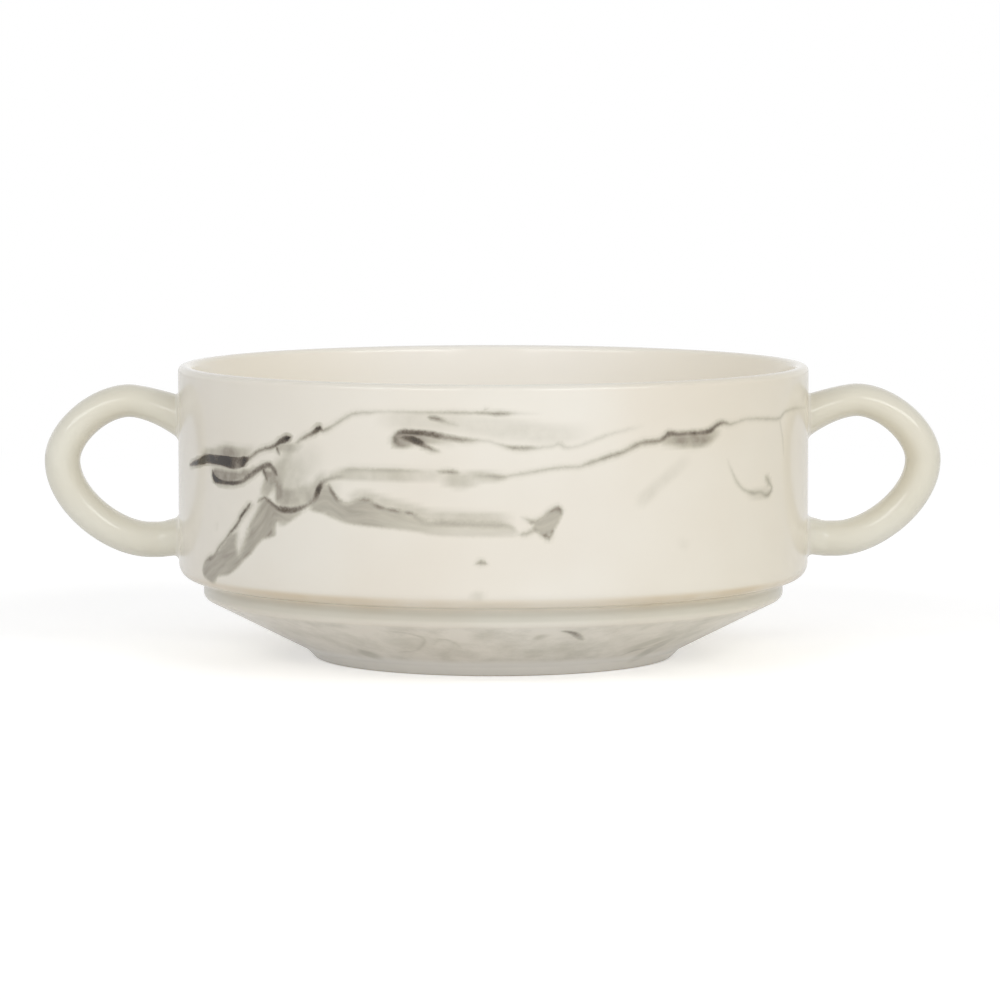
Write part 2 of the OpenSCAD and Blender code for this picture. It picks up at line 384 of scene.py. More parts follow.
UPPER_CURVE = [(CROWN_R, CROWN_Z), (blend(CROWN_R, GRIP_R, CROWN_PULL_SHARE), CROWN_Z),
               (GRIP_R, blend(APEX_Z, CROWN_Z, CROWN_PULL_SHARE)), (GRIP_R, APEX_Z)]
LOWER_CURVE = [(GRIP_R, APEX_Z), (GRIP_R, blend(APEX_Z, LOWER_Z, APEX_PULL_SHARE)),
               (blend(LOWER_R, GRIP_R, LOWER_PULL_SHARE), LOWER_Z), (LOWER_R, LOWER_Z)]


def root_places(start, end, count):
    """Places out from the wall, closer together near it."""
    return [blend(start, end, (k / count) ** ROOT_CROWDING) for k in range(count + 1)]


def handle_stations(start_gap):
    start = WALL_R + start_gap
    upper = [upper_station(x) for x in root_places(start, CROWN_R, ROOT_STEPS)]
    crown = [curve_station(UPPER_CURVE, (k + 1) / CROWN_STEPS, CROWN_T, GRIP_T) for k in range(CROWN_STEPS)]
    lower = [curve_station(LOWER_CURVE, (k + 1) / LOWER_STEPS, GRIP_T, LOWER_T) for k in range(LOWER_STEPS)]
    root = [lower_root_station(x) for x in reversed(root_places(start, LOWER_R, ROOT_STEPS)[:-1])]
    return upper + crown + lower + root


def slip_stations(station, end_gap):
    places = [-ROOT_SINK] + [blend(-ROOT_SINK / 2, end_gap, k / SLIP_STEPS) for k in range(SLIP_STEPS + 1)]
    return [station(WALL_R + gap) for gap in places]


def bar_mesh(name, stations):
    middle = [(s[0][0], 0, s[0][1]) for s in stations]
    rise = [(s[1][0] * s[2], 0, s[1][1] * s[2]) for s in stations]
    wrap = [1 - soft((s[0][0] - WALL_R) / WRAP_REACH) for s in stations]
    half_depth = [s[3] for s in stations]
    return station_mesh(name, middle, middle=middle, rise=rise, half_depth=half_depth, wrap=wrap)


# Marbling: veins of dark slip as (degrees from the front, height in mm, half width in mm, darkness)
BLOT = [(-74.9, 34.8, 0.2, 0.8), (-71.6, 35.4, 0.42, 0.95), (-68.5, 36, 0.62, 1), (-66, 36.5, 0.8, 0.98),
        (-62.7, 36.6, 0.85, 0.95), (-59.8, 36.6, 1.02, 1.05), (-58, 36.5, 1.08, 0.95),
        (-56.3, 36.5, 1.08, 0.68), (-54.8, 36.6, 1.05, 0.68), (-53.8, 36.9, 0.9, 0.95),
        (-52.8, 37.3, 0.5, 0.9), (-51.7, 37.7, 0.3, 0.55), (-50.3, 38.5, 0.28, 0.5),
        (-48.5, 39.2, 0.28, 0.55), (-46.2, 39.7, 0.35, 0.6), (-45, 40.2, 0.32, 0.6),
        (-44.2, 40.7, 0.42, 0.8), (-43.1, 41.1, 0.55, 0.9), (-42.1, 41.5, 0.45, 0.95)]
BLOT_DRIP = [(-45, 39.9, 0.2, 0.55), (-44.7, 39.2, 0.25, 0.6), (-44.3, 38.6, 0.2, 0.45)]
CRESCENT = [(-63.9, 34.7, 0.2, 0.6), (-63.6, 34, 0.42, 0.95), (-63, 33.4, 0.55, 1.05),
            (-62, 33.1, 0.48, 1), (-59.9, 32.95, 0.36, 0.92), (-57.3, 33, 0.34, 0.85),
            (-54.8, 33.3, 0.36, 0.75), (-53.1, 33.9, 0.4, 0.66), (-51.4, 34.8, 0.45, 0.64),
            (-49.8, 35.7, 0.48, 0.65), (-48.2, 36.4, 0.48, 0.65), (-46.7, 36.7, 0.45, 0.68),
            (-45.8, 36.1, 0.4, 0.6), (-45, 35.2, 0.3, 0.5)]
CRESCENT_HOOK = [(-48.5, 36.1, 0.3, 0.6), (-47.9, 35.3, 0.35, 0.62), (-47.4, 34.2, 0.3, 0.45)]
SHOULDER_VEIN = [(-40.4, 40.8, 0.25, 0.35), (-38.7, 41.7, 0.28, 0.5), (-37, 42.4, 0.32, 0.58),
                 (-36.1, 43, 0.48, 0.85), (-35.5, 43.4, 0.42, 0.85), (-34.5, 43, 0.22, 0.45),
                 (-32.4, 44.1, 0.2, 0.38), (-30.5, 45.2, 0.2, 0.33), (-28.7, 46, 0.2, 0.33),
                 (-25.7, 46.3, 0.18, 0.28), (-22.3, 46.5, 0.15, 0.2), (-15.7, 46.5, 0.2, 0.27),
                 (-10.9, 46.5, 0.2, 0.36), (-6.2, 46.5, 0.2, 0.4), (-3, 46.4, 0.28, 0.5),
                 (-1.7, 46.4, 0.2, 0.45), (0.5, 46.4, 0.15, 0.15), (4.9, 46.3, 0.15, 0.0)]
SHOULDER_SMEAR = [(-14.9, 45.7, 0.3, 0.4), (-13.8, 45.6, 0.4, 0.5), (-12.8, 45.3, 0.35, 0.35),
                  (-11.6, 44.8, 0.3, 0.2), (-10, 44.4, 0.25, 0.15)]
LEAF_LEFT = [(-51.9, 29.8, 0.3, 0.65), (-53.1, 28.7, 0.3, 0.72), (-54.3, 27.7, 0.3, 0.72),
             (-55.1, 26.6, 0.28, 0.68), (-56.4, 25.5, 0.28, 0.66), (-58, 24.3, 0.25, 0.58),
             (-59.4, 23.2, 0.2, 0.5), (-61.5, 21.8, 0.28, 0.52), (-62.7, 20.8, 0.22, 0.42),
             (-63.4, 20.2, 0.2, 0.4), (-65.1, 19.6, 0.35, 0.65), (-67.2, 18.8, 0.2, 0.35),
             (-68.2, 17.3, 0.15, 0.35), (-67.3, 16.2, 0.15, 0.3)]
LEAF_RIDGE = [(-49.8, 30.3, 0.2, 0.35), (-48.8, 30.8, 0.25, 0.5), (-47.8, 31.1, 0.3, 0.55),
              (-46.8, 30.6, 0.3, 0.5), (-45.6, 30, 0.35, 0.6), (-44.4, 29.5, 0.48, 0.66),
              (-42.7, 29.4, 0.55, 0.7), (-41.1, 29.5, 0.5, 0.68), (-39.8, 29.8, 0.4, 0.6),
              (-38.1, 30.4, 0.3, 0.45), (-37, 31.1, 0.35, 0.45), (-36.3, 31.9, 0.42, 0.6),
              (-35.8, 33, 0.55, 0.82), (-35.4, 33.7, 0.45, 0.72), (-34.8, 34.4, 0.42, 0.42),
              (-33.5, 35, 0.42, 0.32), (-31.9, 35.4, 0.4, 0.22), (-30.3, 35.7, 0.3, 0.0)]
BAND_TOP = [(-33.8, 34.3, 0.15, 0.2), (-33.4, 33.6, 0.25, 0.45), (-32.7, 32.6, 0.35, 0.55),
            (-31.9, 31.7, 0.32, 0.45), (-30.5, 31.2, 0.28, 0.25), (-29, 31.4, 0.25, 0.25),
            (-27.6, 31.7, 0.32, 0.42), (-26.5, 31.8, 0.36, 0.5), (-25.4, 31.5, 0.28, 0.34),
            (-24.6, 31, 0.32, 0.48), (-23.7, 30.7, 0.34, 0.5), (-22.6, 30.5, 0.22, 0.3),
            (-21.7, 30.3, 0.33, 0.52), (-20.4, 30.1, 0.3, 0.46), (-19.7, 30, 0.2, 0.25),
            (-19, 29.9, 0.28, 0.46), (-17.9, 29.7, 0.28, 0.4), (-17.2, 29.2, 0.35, 0.26),
            (-16, 28.6, 0.45, 0.21), (-14, 28.3, 0.5, 0.21), (-11.9, 28.3, 0.55, 0.21),
            (-8.9, 28.2, 0.55, 0.2), (-6, 28.1, 0.55, 0.21), (-3.6, 28.1, 0.55, 0.2),
            (-1.8, 28.1, 0.5, 0.19), (-0.6, 27.6, 0.4, 0.14), (0.2, 27.1, 0.2, 0.03)]
TIP_FOOT = [(0.7, 26.4, 0.2, 0.25), (1.6, 26.6, 0.3, 0.42), (2.2, 26.7, 0.22, 0.3),
            (3.1, 27.2, 0.28, 0.42), (3.7, 26.7, 0.15, 0.2), (4.3, 26.5, 0.25, 0.4),
            (5.2, 26, 0.32, 0.48), (5.6, 25.7, 0.25, 0.45), (6, 26.3, 0.2, 0.35), (6.2, 27.1, 0.28, 0.46)]
TIP_TOP = [(0.9, 29.3, 0.15, 0.1), (1.9, 28.9, 0.25, 0.25), (2.9, 28.5, 0.35, 0.35),
           (4.1, 28.9, 0.3, 0.34), (5.5, 30, 0.28, 0.36), (6.4, 30.5, 0.34, 0.46), (7.3, 30.7, 0.4, 0.52),
           (7.7, 30.3, 0.28, 0.45), (7.8, 29.6, 0.15, 0.2)]
FAINT_VEIN = [(-31.9, 36, 0.15, 0.05), (-29, 36.7, 0.25, 0.16), (-23.9, 36.8, 0.25, 0.17),
              (-18.5, 36.8, 0.2, 0.15), (-15.5, 36.7, 0.15, 0.05)]
DASH = [(-13.6, 36.9, 0.15, 0.15), (-12.9, 36.8, 0.28, 0.42), (-11.5, 36.8, 0.34, 0.5),
        (-10.3, 36.7, 0.3, 0.44), (-9.6, 36.6, 0.15, 0.15)]
LONG_VEIN = [(-6.5, 36.2, 0.25, 0.12), (-4.2, 36.1, 0.35, 0.24), (-2.4, 35.9, 0.38, 0.28),
             (-1.2, 36.1, 0.3, 0.24), (1.4, 36.5, 0.28, 0.26), (4.4, 37, 0.25, 0.27),
             (7.4, 37.4, 0.25, 0.27), (10.7, 37.5, 0.25, 0.27), (13.1, 38.1, 0.27, 0.36),
             (15.1, 38.7, 0.32, 0.42), (16.5, 39.1, 0.32, 0.46), (18.5, 39.6, 0.32, 0.42),
             (20.6, 40.4, 0.37, 0.42), (22.4, 41.1, 0.4, 0.44), (25.7, 41.3, 0.37, 0.46),
             (27.3, 41.9, 0.37, 0.56), (27.9, 42.4, 0.45, 0.7), (29.8, 42.3, 0.37, 0.58),
             (32.4, 42.3, 0.37, 0.58), (35.3, 42.3, 0.4, 0.64), (37.2, 42.5, 0.42, 0.68),
             (38.6, 43.3, 0.32, 0.6), (39.9, 43.7, 0.3, 0.58), (42.5, 43.4, 0.2, 0.36),
             (46.1, 43.9, 0.18, 0.26), (49.1, 43.9, 0.2, 0.3), (57.7, 43.4, 0.22, 0.32),
             (60.3, 44.3, 0.2, 0.26), (65.6, 44.6, 0.2, 0.22), (74.8, 44.1, 0.15, 0.1)]
LONG_VEIN_BRANCH = [(58.1, 43.2, 0.15, 0.15), (59.5, 40, 0.15, 0.15), (60, 37, 0.1, 0.1)]
SWAG = [(-21, 42.6, 0.25, 0.3), (-20.4, 43, 0.38, 0.55), (-19.5, 43.2, 0.42, 0.68),
        (-18.1, 43.2, 0.45, 0.7), (-16.7, 43.1, 0.45, 0.7), (-15.3, 43, 0.48, 0.7),
        (-13.9, 42.8, 0.48, 0.64), (-12.9, 42.6, 0.48, 0.52), (-11.3, 42.4, 0.48, 0.46),
        (-9.7, 42.1, 0.42, 0.44), (-8, 42, 0.35, 0.36), (-6.5, 42, 0.25, 0.26), (-5.1, 41.9, 0.2, 0.2),
        (-3.6, 41.5, 0.18, 0.2), (-2.1, 41.1, 0.22, 0.28), (-1, 40.8, 0.28, 0.38), (0.5, 40.7, 0.3, 0.45),
        (2.2, 40.7, 0.28, 0.42), (3.4, 40.7, 0.22, 0.3), (5.2, 40.8, 0.18, 0.2), (6.7, 41, 0.2, 0.2),
        (7.6, 41.4, 0.3, 0.22), (8.2, 40.8, 0.28, 0.22), (9.5, 40.7, 0.25, 0.18),
        (11.4, 41.1, 0.25, 0.17), (14.1, 42, 0.25, 0.17), (16.5, 42.7, 0.25, 0.15),
        (19.9, 43.4, 0.3, 0.1), (23.5, 44, 0.3, 0)]
SWAG_HOOK = [(-20, 42.3, 0.25, 0.4), (-19.2, 42.3, 0.4, 0.6), (-18.1, 42.1, 0.55, 0.74),
             (-17.3, 41.8, 0.6, 0.76), (-16.5, 41.4, 0.5, 0.72), (-15.6, 40.9, 0.38, 0.6),
             (-14.6, 40.5, 0.3, 0.5), (-13.2, 40.1, 0.2, 0.25)]
SWAG_CURL = [(-20.6, 42.7, 0.2, 0.4), (-21.1, 42.2, 0.2, 0.45), (-21, 41.7, 0.2, 0.45),
             (-20.2, 41.1, 0.2, 0.35), (-19.2, 41, 0.15, 0.1)]
CURL = [(41.5, 37.4, 0.2, 0.05), (42.5, 35.7, 0.2, 0.14), (43.9, 33.7, 0.25, 0.24),
        (45.9, 32.2, 0.25, 0.24), (48.3, 31.4, 0.3, 0.3), (49.9, 31.4, 0.25, 0.24),
        (51.2, 31.4, 0.25, 0.24), (52.9, 30.6, 0.28, 0.32), (54.7, 31.1, 0.28, 0.38),
        (55.2, 31.8, 0.22, 0.38), (53.9, 33, 0.3, 0.22), (52.8, 33.9, 0.3, 0.1)]
FLECK = [(-6.7, 21.7, 0.2, 0.4), (-6, 21.9, 0.3, 0.5), (-5.3, 21.7, 0.2, 0.4)]
SPECK = [(-5.4, 47, 0.2, 0.2), (-5, 47.2, 0.2, 0.25)]
CONE_BLOT = [(9.8, 9.6, 0.25, 0.35), (12, 9.2, 0.5, 0.58), (13.8, 8.4, 0.6, 0.48),
             (15.6, 7.5, 0.45, 0.25)]
CONE_LOOP = [(-24.7, 9.2, 0.3, 0.12), (-21.1, 8.9, 0.3, 0.16), (-18.8, 7.7, 0.3, 0.16),
             (-22.5, 5.3, 0.3, 0.14), (-28, 4.6, 0.3, 0.1)]
CONE_ARC = [(-17.3, 6.6, 0.25, 0.08), (-15.5, 7.9, 0.25, 0.14), (-12.8, 7.4, 0.25, 0.14),
            (-11.5, 6, 0.25, 0.08)]
CONE_STREAK = [(32.5, 3.2, 0.3, 0.05), (33.5, 3.4, 0.35, 0.16), (35.5, 4.2, 0.5, 0.28),
               (39, 4.6, 0.45, 0.16), (42.5, 6.2, 0.35, 0.05)]

# Veins that share a layer keep apart, so that each place has one nearest vein
VEIN_LAYERS = [
    [BLOT, LONG_VEIN, TIP_FOOT, LEAF_LEFT, CONE_BLOT],
    [SHOULDER_VEIN, SWAG_CURL, BAND_TOP, CRESCENT, CONE_LOOP, CONE_STREAK],
    [SWAG, LEAF_RIDGE, TIP_TOP, DASH, CURL, LONG_VEIN_BRANCH, CONE_ARC],
    [BLOT_DRIP, SWAG_HOOK, SHOULDER_SMEAR, CRESCENT_HOOK, FAINT_VEIN, FLECK, SPECK]]

# Outlines of sharp-edged grey slip, and of the leaf's pale core: (degrees from the front, height in mm)
LEAF = [(-64.7, 15.4), (-67.3, 16.2), (-68.2, 17.3), (-67.2, 18.8), (-65.1, 19.6), (-62.7, 20.8),
        (-60.1, 22.3), (-58, 24.3), (-55.1, 26.6), (-53.1, 28.7), (-51.9, 29.8), (-50, 30.4), (-47.6, 31),
        (-45.4, 30.2), (-43.7, 29.3), (-41, 29.8), (-38.9, 29.4), (-40.9, 28.1), (-42.7, 27),
        (-44.4, 25.7), (-45.9, 24.7), (-48.2, 24.2), (-49.5, 23.4), (-51.7, 21.5), (-54, 20),
        (-55.5, 18.8), (-58.4, 17.4), (-61.6, 16.9), (-63.5, 15.7)]
LEAF_CORE = [(-50.8, 30), (-51.5, 29.2), (-53.4, 27.6), (-55.2, 25.9), (-55.6, 24.2), (-55.8, 22.4),
             (-55.1, 21.2), (-54.2, 22.5), (-53, 24.2), (-52.2, 25.9), (-51.4, 27.6), (-50.6, 29.2)]
BAND = [(-37.6, 29.8), (-36.6, 31.4), (-35.6, 33.2), (-34.4, 34.3), (-33.2, 33.7), (-32.3, 32.3),
        (-31.5, 31.3), (-30.3, 30.9), (-28.6, 31.3), (-26.7, 31.7), (-24.1, 31.1), (-21, 30.2),
        (-17.9, 29.7), (-15.8, 28.5), (-11.9, 28.7), (-6, 28.5), (-1.8, 28.3), (0.2, 27.1), (0, 26.2),
        (-8.9, 26.1), (-14.9, 26.3), (-17.3, 26.8), (-24.1, 27.3), (-27.3, 27.5), (-30.7, 27.9),
        (-33, 28.6), (-35.5, 29.3)]
ARROW_TIP = [(1.9, 28.9), (2.9, 28.3), (4.4, 28.9), (5.9, 30.3), (7.6, 30.9), (8, 29.8), (7, 27.8),
             (5.8, 25.7), (4.9, 25.7), (4.3, 26.5), (3.2, 27), (2.6, 28)]

# Greys as (width of the soft edge in mm, stroke); the first list shows only inside the outlines above
INNER_GREYS = [
    (1.5, [(-67, 16.5, 1.5, 0.44), (-62, 19, 2.5, 0.42), (-57, 21, 2.5, 0.42), (-52.5, 23.2, 2.0, 0.44),
           (-48.5, 26.5, 2.0, 0.40), (-46, 29.5, 1.5, 0.46), (-42, 28.5, 1.2, 0.36),
           (-39.5, 29, 1.2, 0.28)]),
    (1.0, [(-57, 26, 1.0, 0.3), (-51.5, 30.4, 1.0, 0.3)]),
    (1.0, [(-47.3, 24.6, 0.4, 0.5), (-46, 25.4, 0.4, 0.5)]),
    (1.5, [(-37.5, 30.5, 1.2, 0.38), (-34, 31.5, 2.0, 0.38), (-30, 29.6, 2.0, 0.38),
           (-26, 29.6, 2.0, 0.36), (-21, 28.6, 1.5, 0.28), (-16.5, 27.7, 1.2, 0.22),
           (-11, 27.2, 1.2, 0.16), (-4, 27.1, 1.2, 0.15), (0.5, 27, 1.0, 0.15)]),
    (1.0, [(2, 28, 1.0, 0.36), (5, 28, 1.2, 0.33), (8, 30, 1.0, 0.36)]),
    (1.0, [(5.3, 26, 0.8, 0.3), (6, 27.5, 0.8, 0.3)])]
SOFT_GREYS = [
    (1.0, [(-69.5, 36.8, 0.2, 0), (-67, 37.3, 0.3, 0.25), (-64, 37.6, 0.4, 0.34), (-62, 37.6, 0.4, 0.4)]),
    (1.5, [(-63, 37.6, 0.3, 0.2), (-60.5, 37.9, 0.4, 0.5), (-58.2, 38, 0.5, 0.58), (-56, 38, 0.4, 0.48),
           (-53.8, 38.2, 0.3, 0.34), (-51, 38.8, 0.2, 0.1), (-49.5, 39.3, 0.2, 0)]),
    (0.9, [(-45.3, 40.2, 0.2, 0.2), (-43.5, 39.8, 0.5, 0.36), (-41.5, 39.7, 0.5, 0.32),
           (-39.5, 40.5, 0.2, 0.15)]),
    (0.5, [(-63.6, 34, 0.6, 0.7), (-61.3, 33.9, 0.7, 0.62), (-57.9, 34, 0.7, 0.56),
           (-54.8, 34.4, 0.6, 0.5), (-52, 35.2, 0.4, 0.4), (-49.5, 36.2, 0.2, 0.25)]),
    (1.0, [(-64.5, 35.2, 0.2, 0.1), (-61.3, 35.1, 0.6, 0.22), (-56, 35.4, 0.6, 0.22),
           (-52.5, 36, 0.3, 0)]),
    (0.6, [(-48.2, 35.9, 0.4, 0.4), (-47.2, 35.2, 0.5, 0.5), (-45.8, 35, 0.5, 0.46),
           (-44.4, 35.4, 0.3, 0.25)]),
    (1.0, [(-45.3, 35.8, 0.3, 0.36), (-45.8, 35, 0.5, 0.42), (-46.6, 33.9, 0.7, 0.5),
           (-47.6, 32.5, 0.6, 0.4), (-48.2, 31.3, 0.4, 0.15)]),
    (0.6, [(-44.9, 35, 0.3, 0.35), (-44.7, 33.5, 0.5, 0.5), (-44.6, 32.3, 0.5, 0.54),
           (-44.6, 30.8, 0.5, 0.5)]),
    (2.0, [(-44.2, 31.4, 0.6, 0.46), (-42, 31.6, 0.7, 0.4), (-39.8, 32, 0.7, 0.32),
           (-36, 32.8, 0.6, 0.26), (-33.5, 33, 0.5, 0.16), (-30.5, 33.4, 0.4, 0)]),
    (2.4, [(-46, 33.6, 0.6, 0.34), (-44, 35.8, 0.7, 0.3), (-41.6, 38, 0.5, 0.2), (-39, 40.2, 0.3, 0)]),
    (3.8, [(-43, 33, 0.5, 0.24), (-40.5, 35.6, 0.5, 0.2), (-37, 38.6, 0.4, 0.08), (-34.5, 40.5, 0.3, 0)]),
    (1.6, [(-43, 30.8, 0.4, 0.26), (-39.5, 31, 0.4, 0.3), (-37, 32.4, 0.4, 0.36),
           (-35.3, 34.6, 0.3, 0.28), (-33.6, 35.8, 0.3, 0)]),
    (1.1, [(-30.5, 31.8, 0.2, 0), (-27, 32.4, 0.4, 0.22), (-23, 31.5, 0.4, 0.2), (-19, 30.7, 0.4, 0.18),
           (-15.8, 29.8, 0.4, 0.18), (-13, 29.3, 0.5, 0.2), (-8, 29.2, 0.5, 0.19),
           (-2.9, 29.1, 0.4, 0.16), (0, 28.8, 0.2, 0)]),
    (0.9, [(-34.5, 35, 0.3, 0.05), (-31.5, 35.8, 0.5, 0.18), (-29, 36.1, 0.7, 0.2),
           (-23.9, 36.1, 0.7, 0.2), (-20.5, 36.1, 0.7, 0.24), (-18, 36.1, 0.6, 0.18),
           (-14, 36.2, 0.5, 0.12), (-6, 35.9, 0.3, 0)]),
    (0.9, [(-13.8, 35.9, 0.2, 0), (-11.8, 35.5, 0.6, 0.2), (-9.8, 35.3, 0.8, 0.22),
           (-7.6, 35.4, 0.6, 0.18), (-5, 35.9, 0.2, 0)]),
    (0.9, [(-10.5, 36.2, 0.2, 0.05), (-8.5, 36.1, 0.3, 0.18), (-6.3, 36.1, 0.4, 0.24),
           (-3.6, 35.9, 0.3, 0.18), (-1.5, 36, 0.2, 0)]),
    (0.9, [(-21.3, 42.2, 0.5, 0.4), (-20.6, 41.9, 0.8, 0.5), (-19.5, 41.9, 0.9, 0.5),
           (-18, 42.1, 0.7, 0.5), (-16.6, 42.2, 0.6, 0.48), (-14.9, 42.2, 0.5, 0.38),
           (-12.5, 41.9, 0.4, 0.2), (-9.5, 41.6, 0.2, 0)]),
    (1.8, [(-25, 45.5, 0.3, 0), (-21, 45.2, 0.5, 0.1), (-17, 45, 0.6, 0.13), (-9, 44.6, 0.6, 0.12),
           (0, 43.6, 0.8, 0.12), (7, 42.9, 0.6, 0.1), (14, 43.5, 0.3, 0)]),
    (1.4, [(25.5, 41.6, 0.1, 0), (27.5, 41.4, 0.2, 0.3), (29.5, 41.3, 0.3, 0.44), (32.8, 41.1, 0.4, 0.5),
           (36, 41.3, 0.4, 0.48), (38.2, 42, 0.2, 0.28), (40, 42.9, 0.1, 0)]),
    (0.7, [(52.4, 33.8, 0.3, 0), (53.4, 33.4, 0.4, 0.2), (54.3, 32.7, 0.3, 0.2), (55, 32, 0.2, 0)]),
    (1.0, [(46.5, 31.6, 0.2, 0), (49, 31.2, 0.3, 0.14), (53.5, 31, 0.4, 0.16), (55.5, 31.3, 0.2, 0)]),
    (0.8, [(-62.6, 25.3, 0.1, 0.08), (-62.2, 25.3, 0.1, 0.08)]),
    (1.2, [(29.6, 24.8, 0.2, 0), (31.2, 23.9, 0.2, 0.04), (32.6, 23, 0.2, 0)]),
    (1.5, [(33, 38.6, 0.2, 0), (31, 37.4, 0.2, 0.05), (28.5, 35.8, 0.2, 0.08), (25.9, 34.1, 0.2, 0.08),
           (23.7, 32.4, 0.3, 0.1), (22.3, 31.3, 0.3, 0.06)]),
    (1.0, [(-7.3, 16.3, 0.2, 0.12), (-6, 16.3, 0.2, 0.12)]),
    (2.2, [(-42, 4.6, 0.4, 0), (-40.3, 4.1, 0.7, 0.3), (-38, 3.5, 0.7, 0.3), (-35, 2.9, 0.5, 0)]),
    (2.5, [(-30, 6.2, 0.4, 0), (-27, 6.6, 0.7, 0.16), (-23, 7.2, 0.8, 0.18), (-18, 7.2, 0.6, 0.1),
           (-14, 7, 0.4, 0)]),
    (2.0, [(4, 8.4, 0.2, 0), (5.2, 8.3, 0.4, 0.24), (6.4, 8.2, 0.4, 0.2), (7.6, 8, 0.2, 0)]),
    (2.2, [(30, 3.6, 0.4, 0), (34, 4.8, 0.7, 0.22), (37, 6, 0.7, 0.24), (41, 7, 0.6, 0.2),
           (46, 8.4, 0.4, 0)]),
    (2.2, [(42.6, 1.8, 0.5, 0.1), (42.6, 3.4, 0.8, 0.3), (42.4, 5.4, 0.8, 0.26), (43.4, 8, 0.5, 0)]),
    (2.5, [(44, 5, 0.4, 0.05), (47.5, 6, 0.6, 0.18), (50.5, 7, 0.5, 0.14), (54, 8, 0.3, 0)])]

# The marbling as a whole is turned this far to the right, in degrees
MARBLING_TURN = 3.0
# The back of the wall carries the same marbling upside down
BACK_MIRROR_Z = 62.0
# The sloping side is unrolled at its middle radius, its height stretched to its true length
CONE_MIDDLE_R = 42.0
CONE_STRETCH = 2.2

# Painted shade under the wall's skirt, as a tan tint: degrees from the front with how dark it is painted
# there
SKIRT_SHADE_TURNS = [(-90, 0.6), (-58, 0.7), (-48, 1.0), (-32, 1.0), (-18, 0.5), (14, 0.45), (26, 0.95),
              (46, 1.0), (60, 0.6), (90, 0.6)]
SKIRT_SHADE_TOP = 16.0
SKIRT_SHADE_FADE_TOP = 0.9
SKIRT_SHADE_LOW = 12.0
SKIRT_SHADE_FADE_LOW = 2.2

# How finely the strokes are laid and how far they reach, in mm
STROKE_STEP = 0.4
STROKE_MARGIN = 4.0
VEIN_FADE_START = 1.1
VEIN_FADE_END = 1.9
NO_VEIN = -1.6
EDGE_REACH = 2.0
# How softly the leaf's pale core cuts into its grey
CORE_SOFTNESS = 0.45


def unroll(turn, height):
    """Places round the outside laid flat: along and up, in mm."""
    on_wall = height > SHELF_Z
    along = np.where(on_wall, WALL_R, CONE_MIDDLE_R) * turn
    return along, np.where(on_wall, height, (height - SHELF_Z) * CONE_STRETCH)


def smooth_stroke(points, closed=False):
    """A stroke's points, laid flat, as a finely stepped smooth line through them."""
    p = np.array(points, dtype=float)
    p[:, 0], p[:, 1] = unroll(np.radians(p[:, 0]), p[:, 1])
    if closed:
        p = np.vstack([p[-1:], p, p[:2]])
    else:
        p = np.vstack([2 * p[0] - p[1], p, 2 * p[-1] - p[-2]])
    line = []
    for a, b, c, d in zip(p, p[1:], p[2:], p[3:]):
        count = max(1, round(math.hypot(*(c - b)[:2]) / STROKE_STEP))
        t = np.arange(count)[:, None] / count
        line.append(b + t / 2 * (c - a + t * (2 * a - 5 * b + 4 * c - d + t * (3 * (b - c) + d - a))))
    return np.vstack(line + [p[-2:-1]])


def measure(line, u, v):
    """From places to a line: signed and full distance, the line's values there and length along it."""
    start, way = line[:-1], line[1:, :2] - line[:-1, :2]
    span = np.hypot(way[:, 0], way[:, 1])
    way = way / span[:, None]
    from_u = u[:, None] - start[:, 0]
    from_v = v[:, None] - start[:, 1]
    along = from_u * way[:, 0] + from_v * way[:, 1]
    across = from_u * way[:, 1] - from_v * way[:, 0]
    over = np.maximum(0, np.maximum(-along, along - span))
    reach = np.hypot(across, over)
    best = np.argmin(reach, axis=1)
    row = np.arange(len(u))
    along, across, over, reach = along[row, best], across[row, best], over[row, best], reach[row, best]
    share = np.clip(along / span[best], 0, 1)[:, None]
    values = start[best, 2:] * (1 - share) + line[best + 1, 2:] * share
    past_end = ((best == 0) & (along < 0)) | ((best == len(span) - 1) & (along > span[-1]))
    signed = np.where(past_end, across, np.copysign(reach, across))
    if values.shape[1]:
        values[:, 0] = np.where(past_end, values[:, 0] - over, values[:, 0])
    return signed, reach, values, np.cumsum(span)[best] - span[best] + along


def near(line, u, v):
    """Which places lie close enough to a line to be touched by it."""
    low = line[:, :2].min(axis=0) - STROKE_MARGIN
    high = line[:, :2].max(axis=0) + STROKE_MARGIN
    return np.flatnonzero((u > low[0]) & (u < high[0]) & (v > low[1]) & (v < high[1]))


def ease(t):
    t = np.clip(t, 0, 1)
    return t * t * (3 - 2 * t)


def vein_field(u, v, strokes):
    """For each place: signed distance to the nearest vein, its half width and its darkness."""
    field = np.tile([STROKE_MARGIN, NO_VEIN, 0.0], (len(u), 1))
    nearest = np.full(len(u), np.inf)
    for points in strokes:
        line = smooth_stroke(points)
        rows = near(line, u, v)
        signed, reach, values, _ = measure(line, u[rows], v[rows])
        fade = ease((reach - VEIN_FADE_START) / (VEIN_FADE_END - VEIN_FADE_START))
        values[:, 0] = values[:, 0] * (1 - fade) + NO_VEIN * fade
        closer = reach < nearest[rows]
        rows = rows[closer]
        nearest[rows] = reach[closer]
        field[rows] = np.column_stack([signed, values])[closer]
    return field


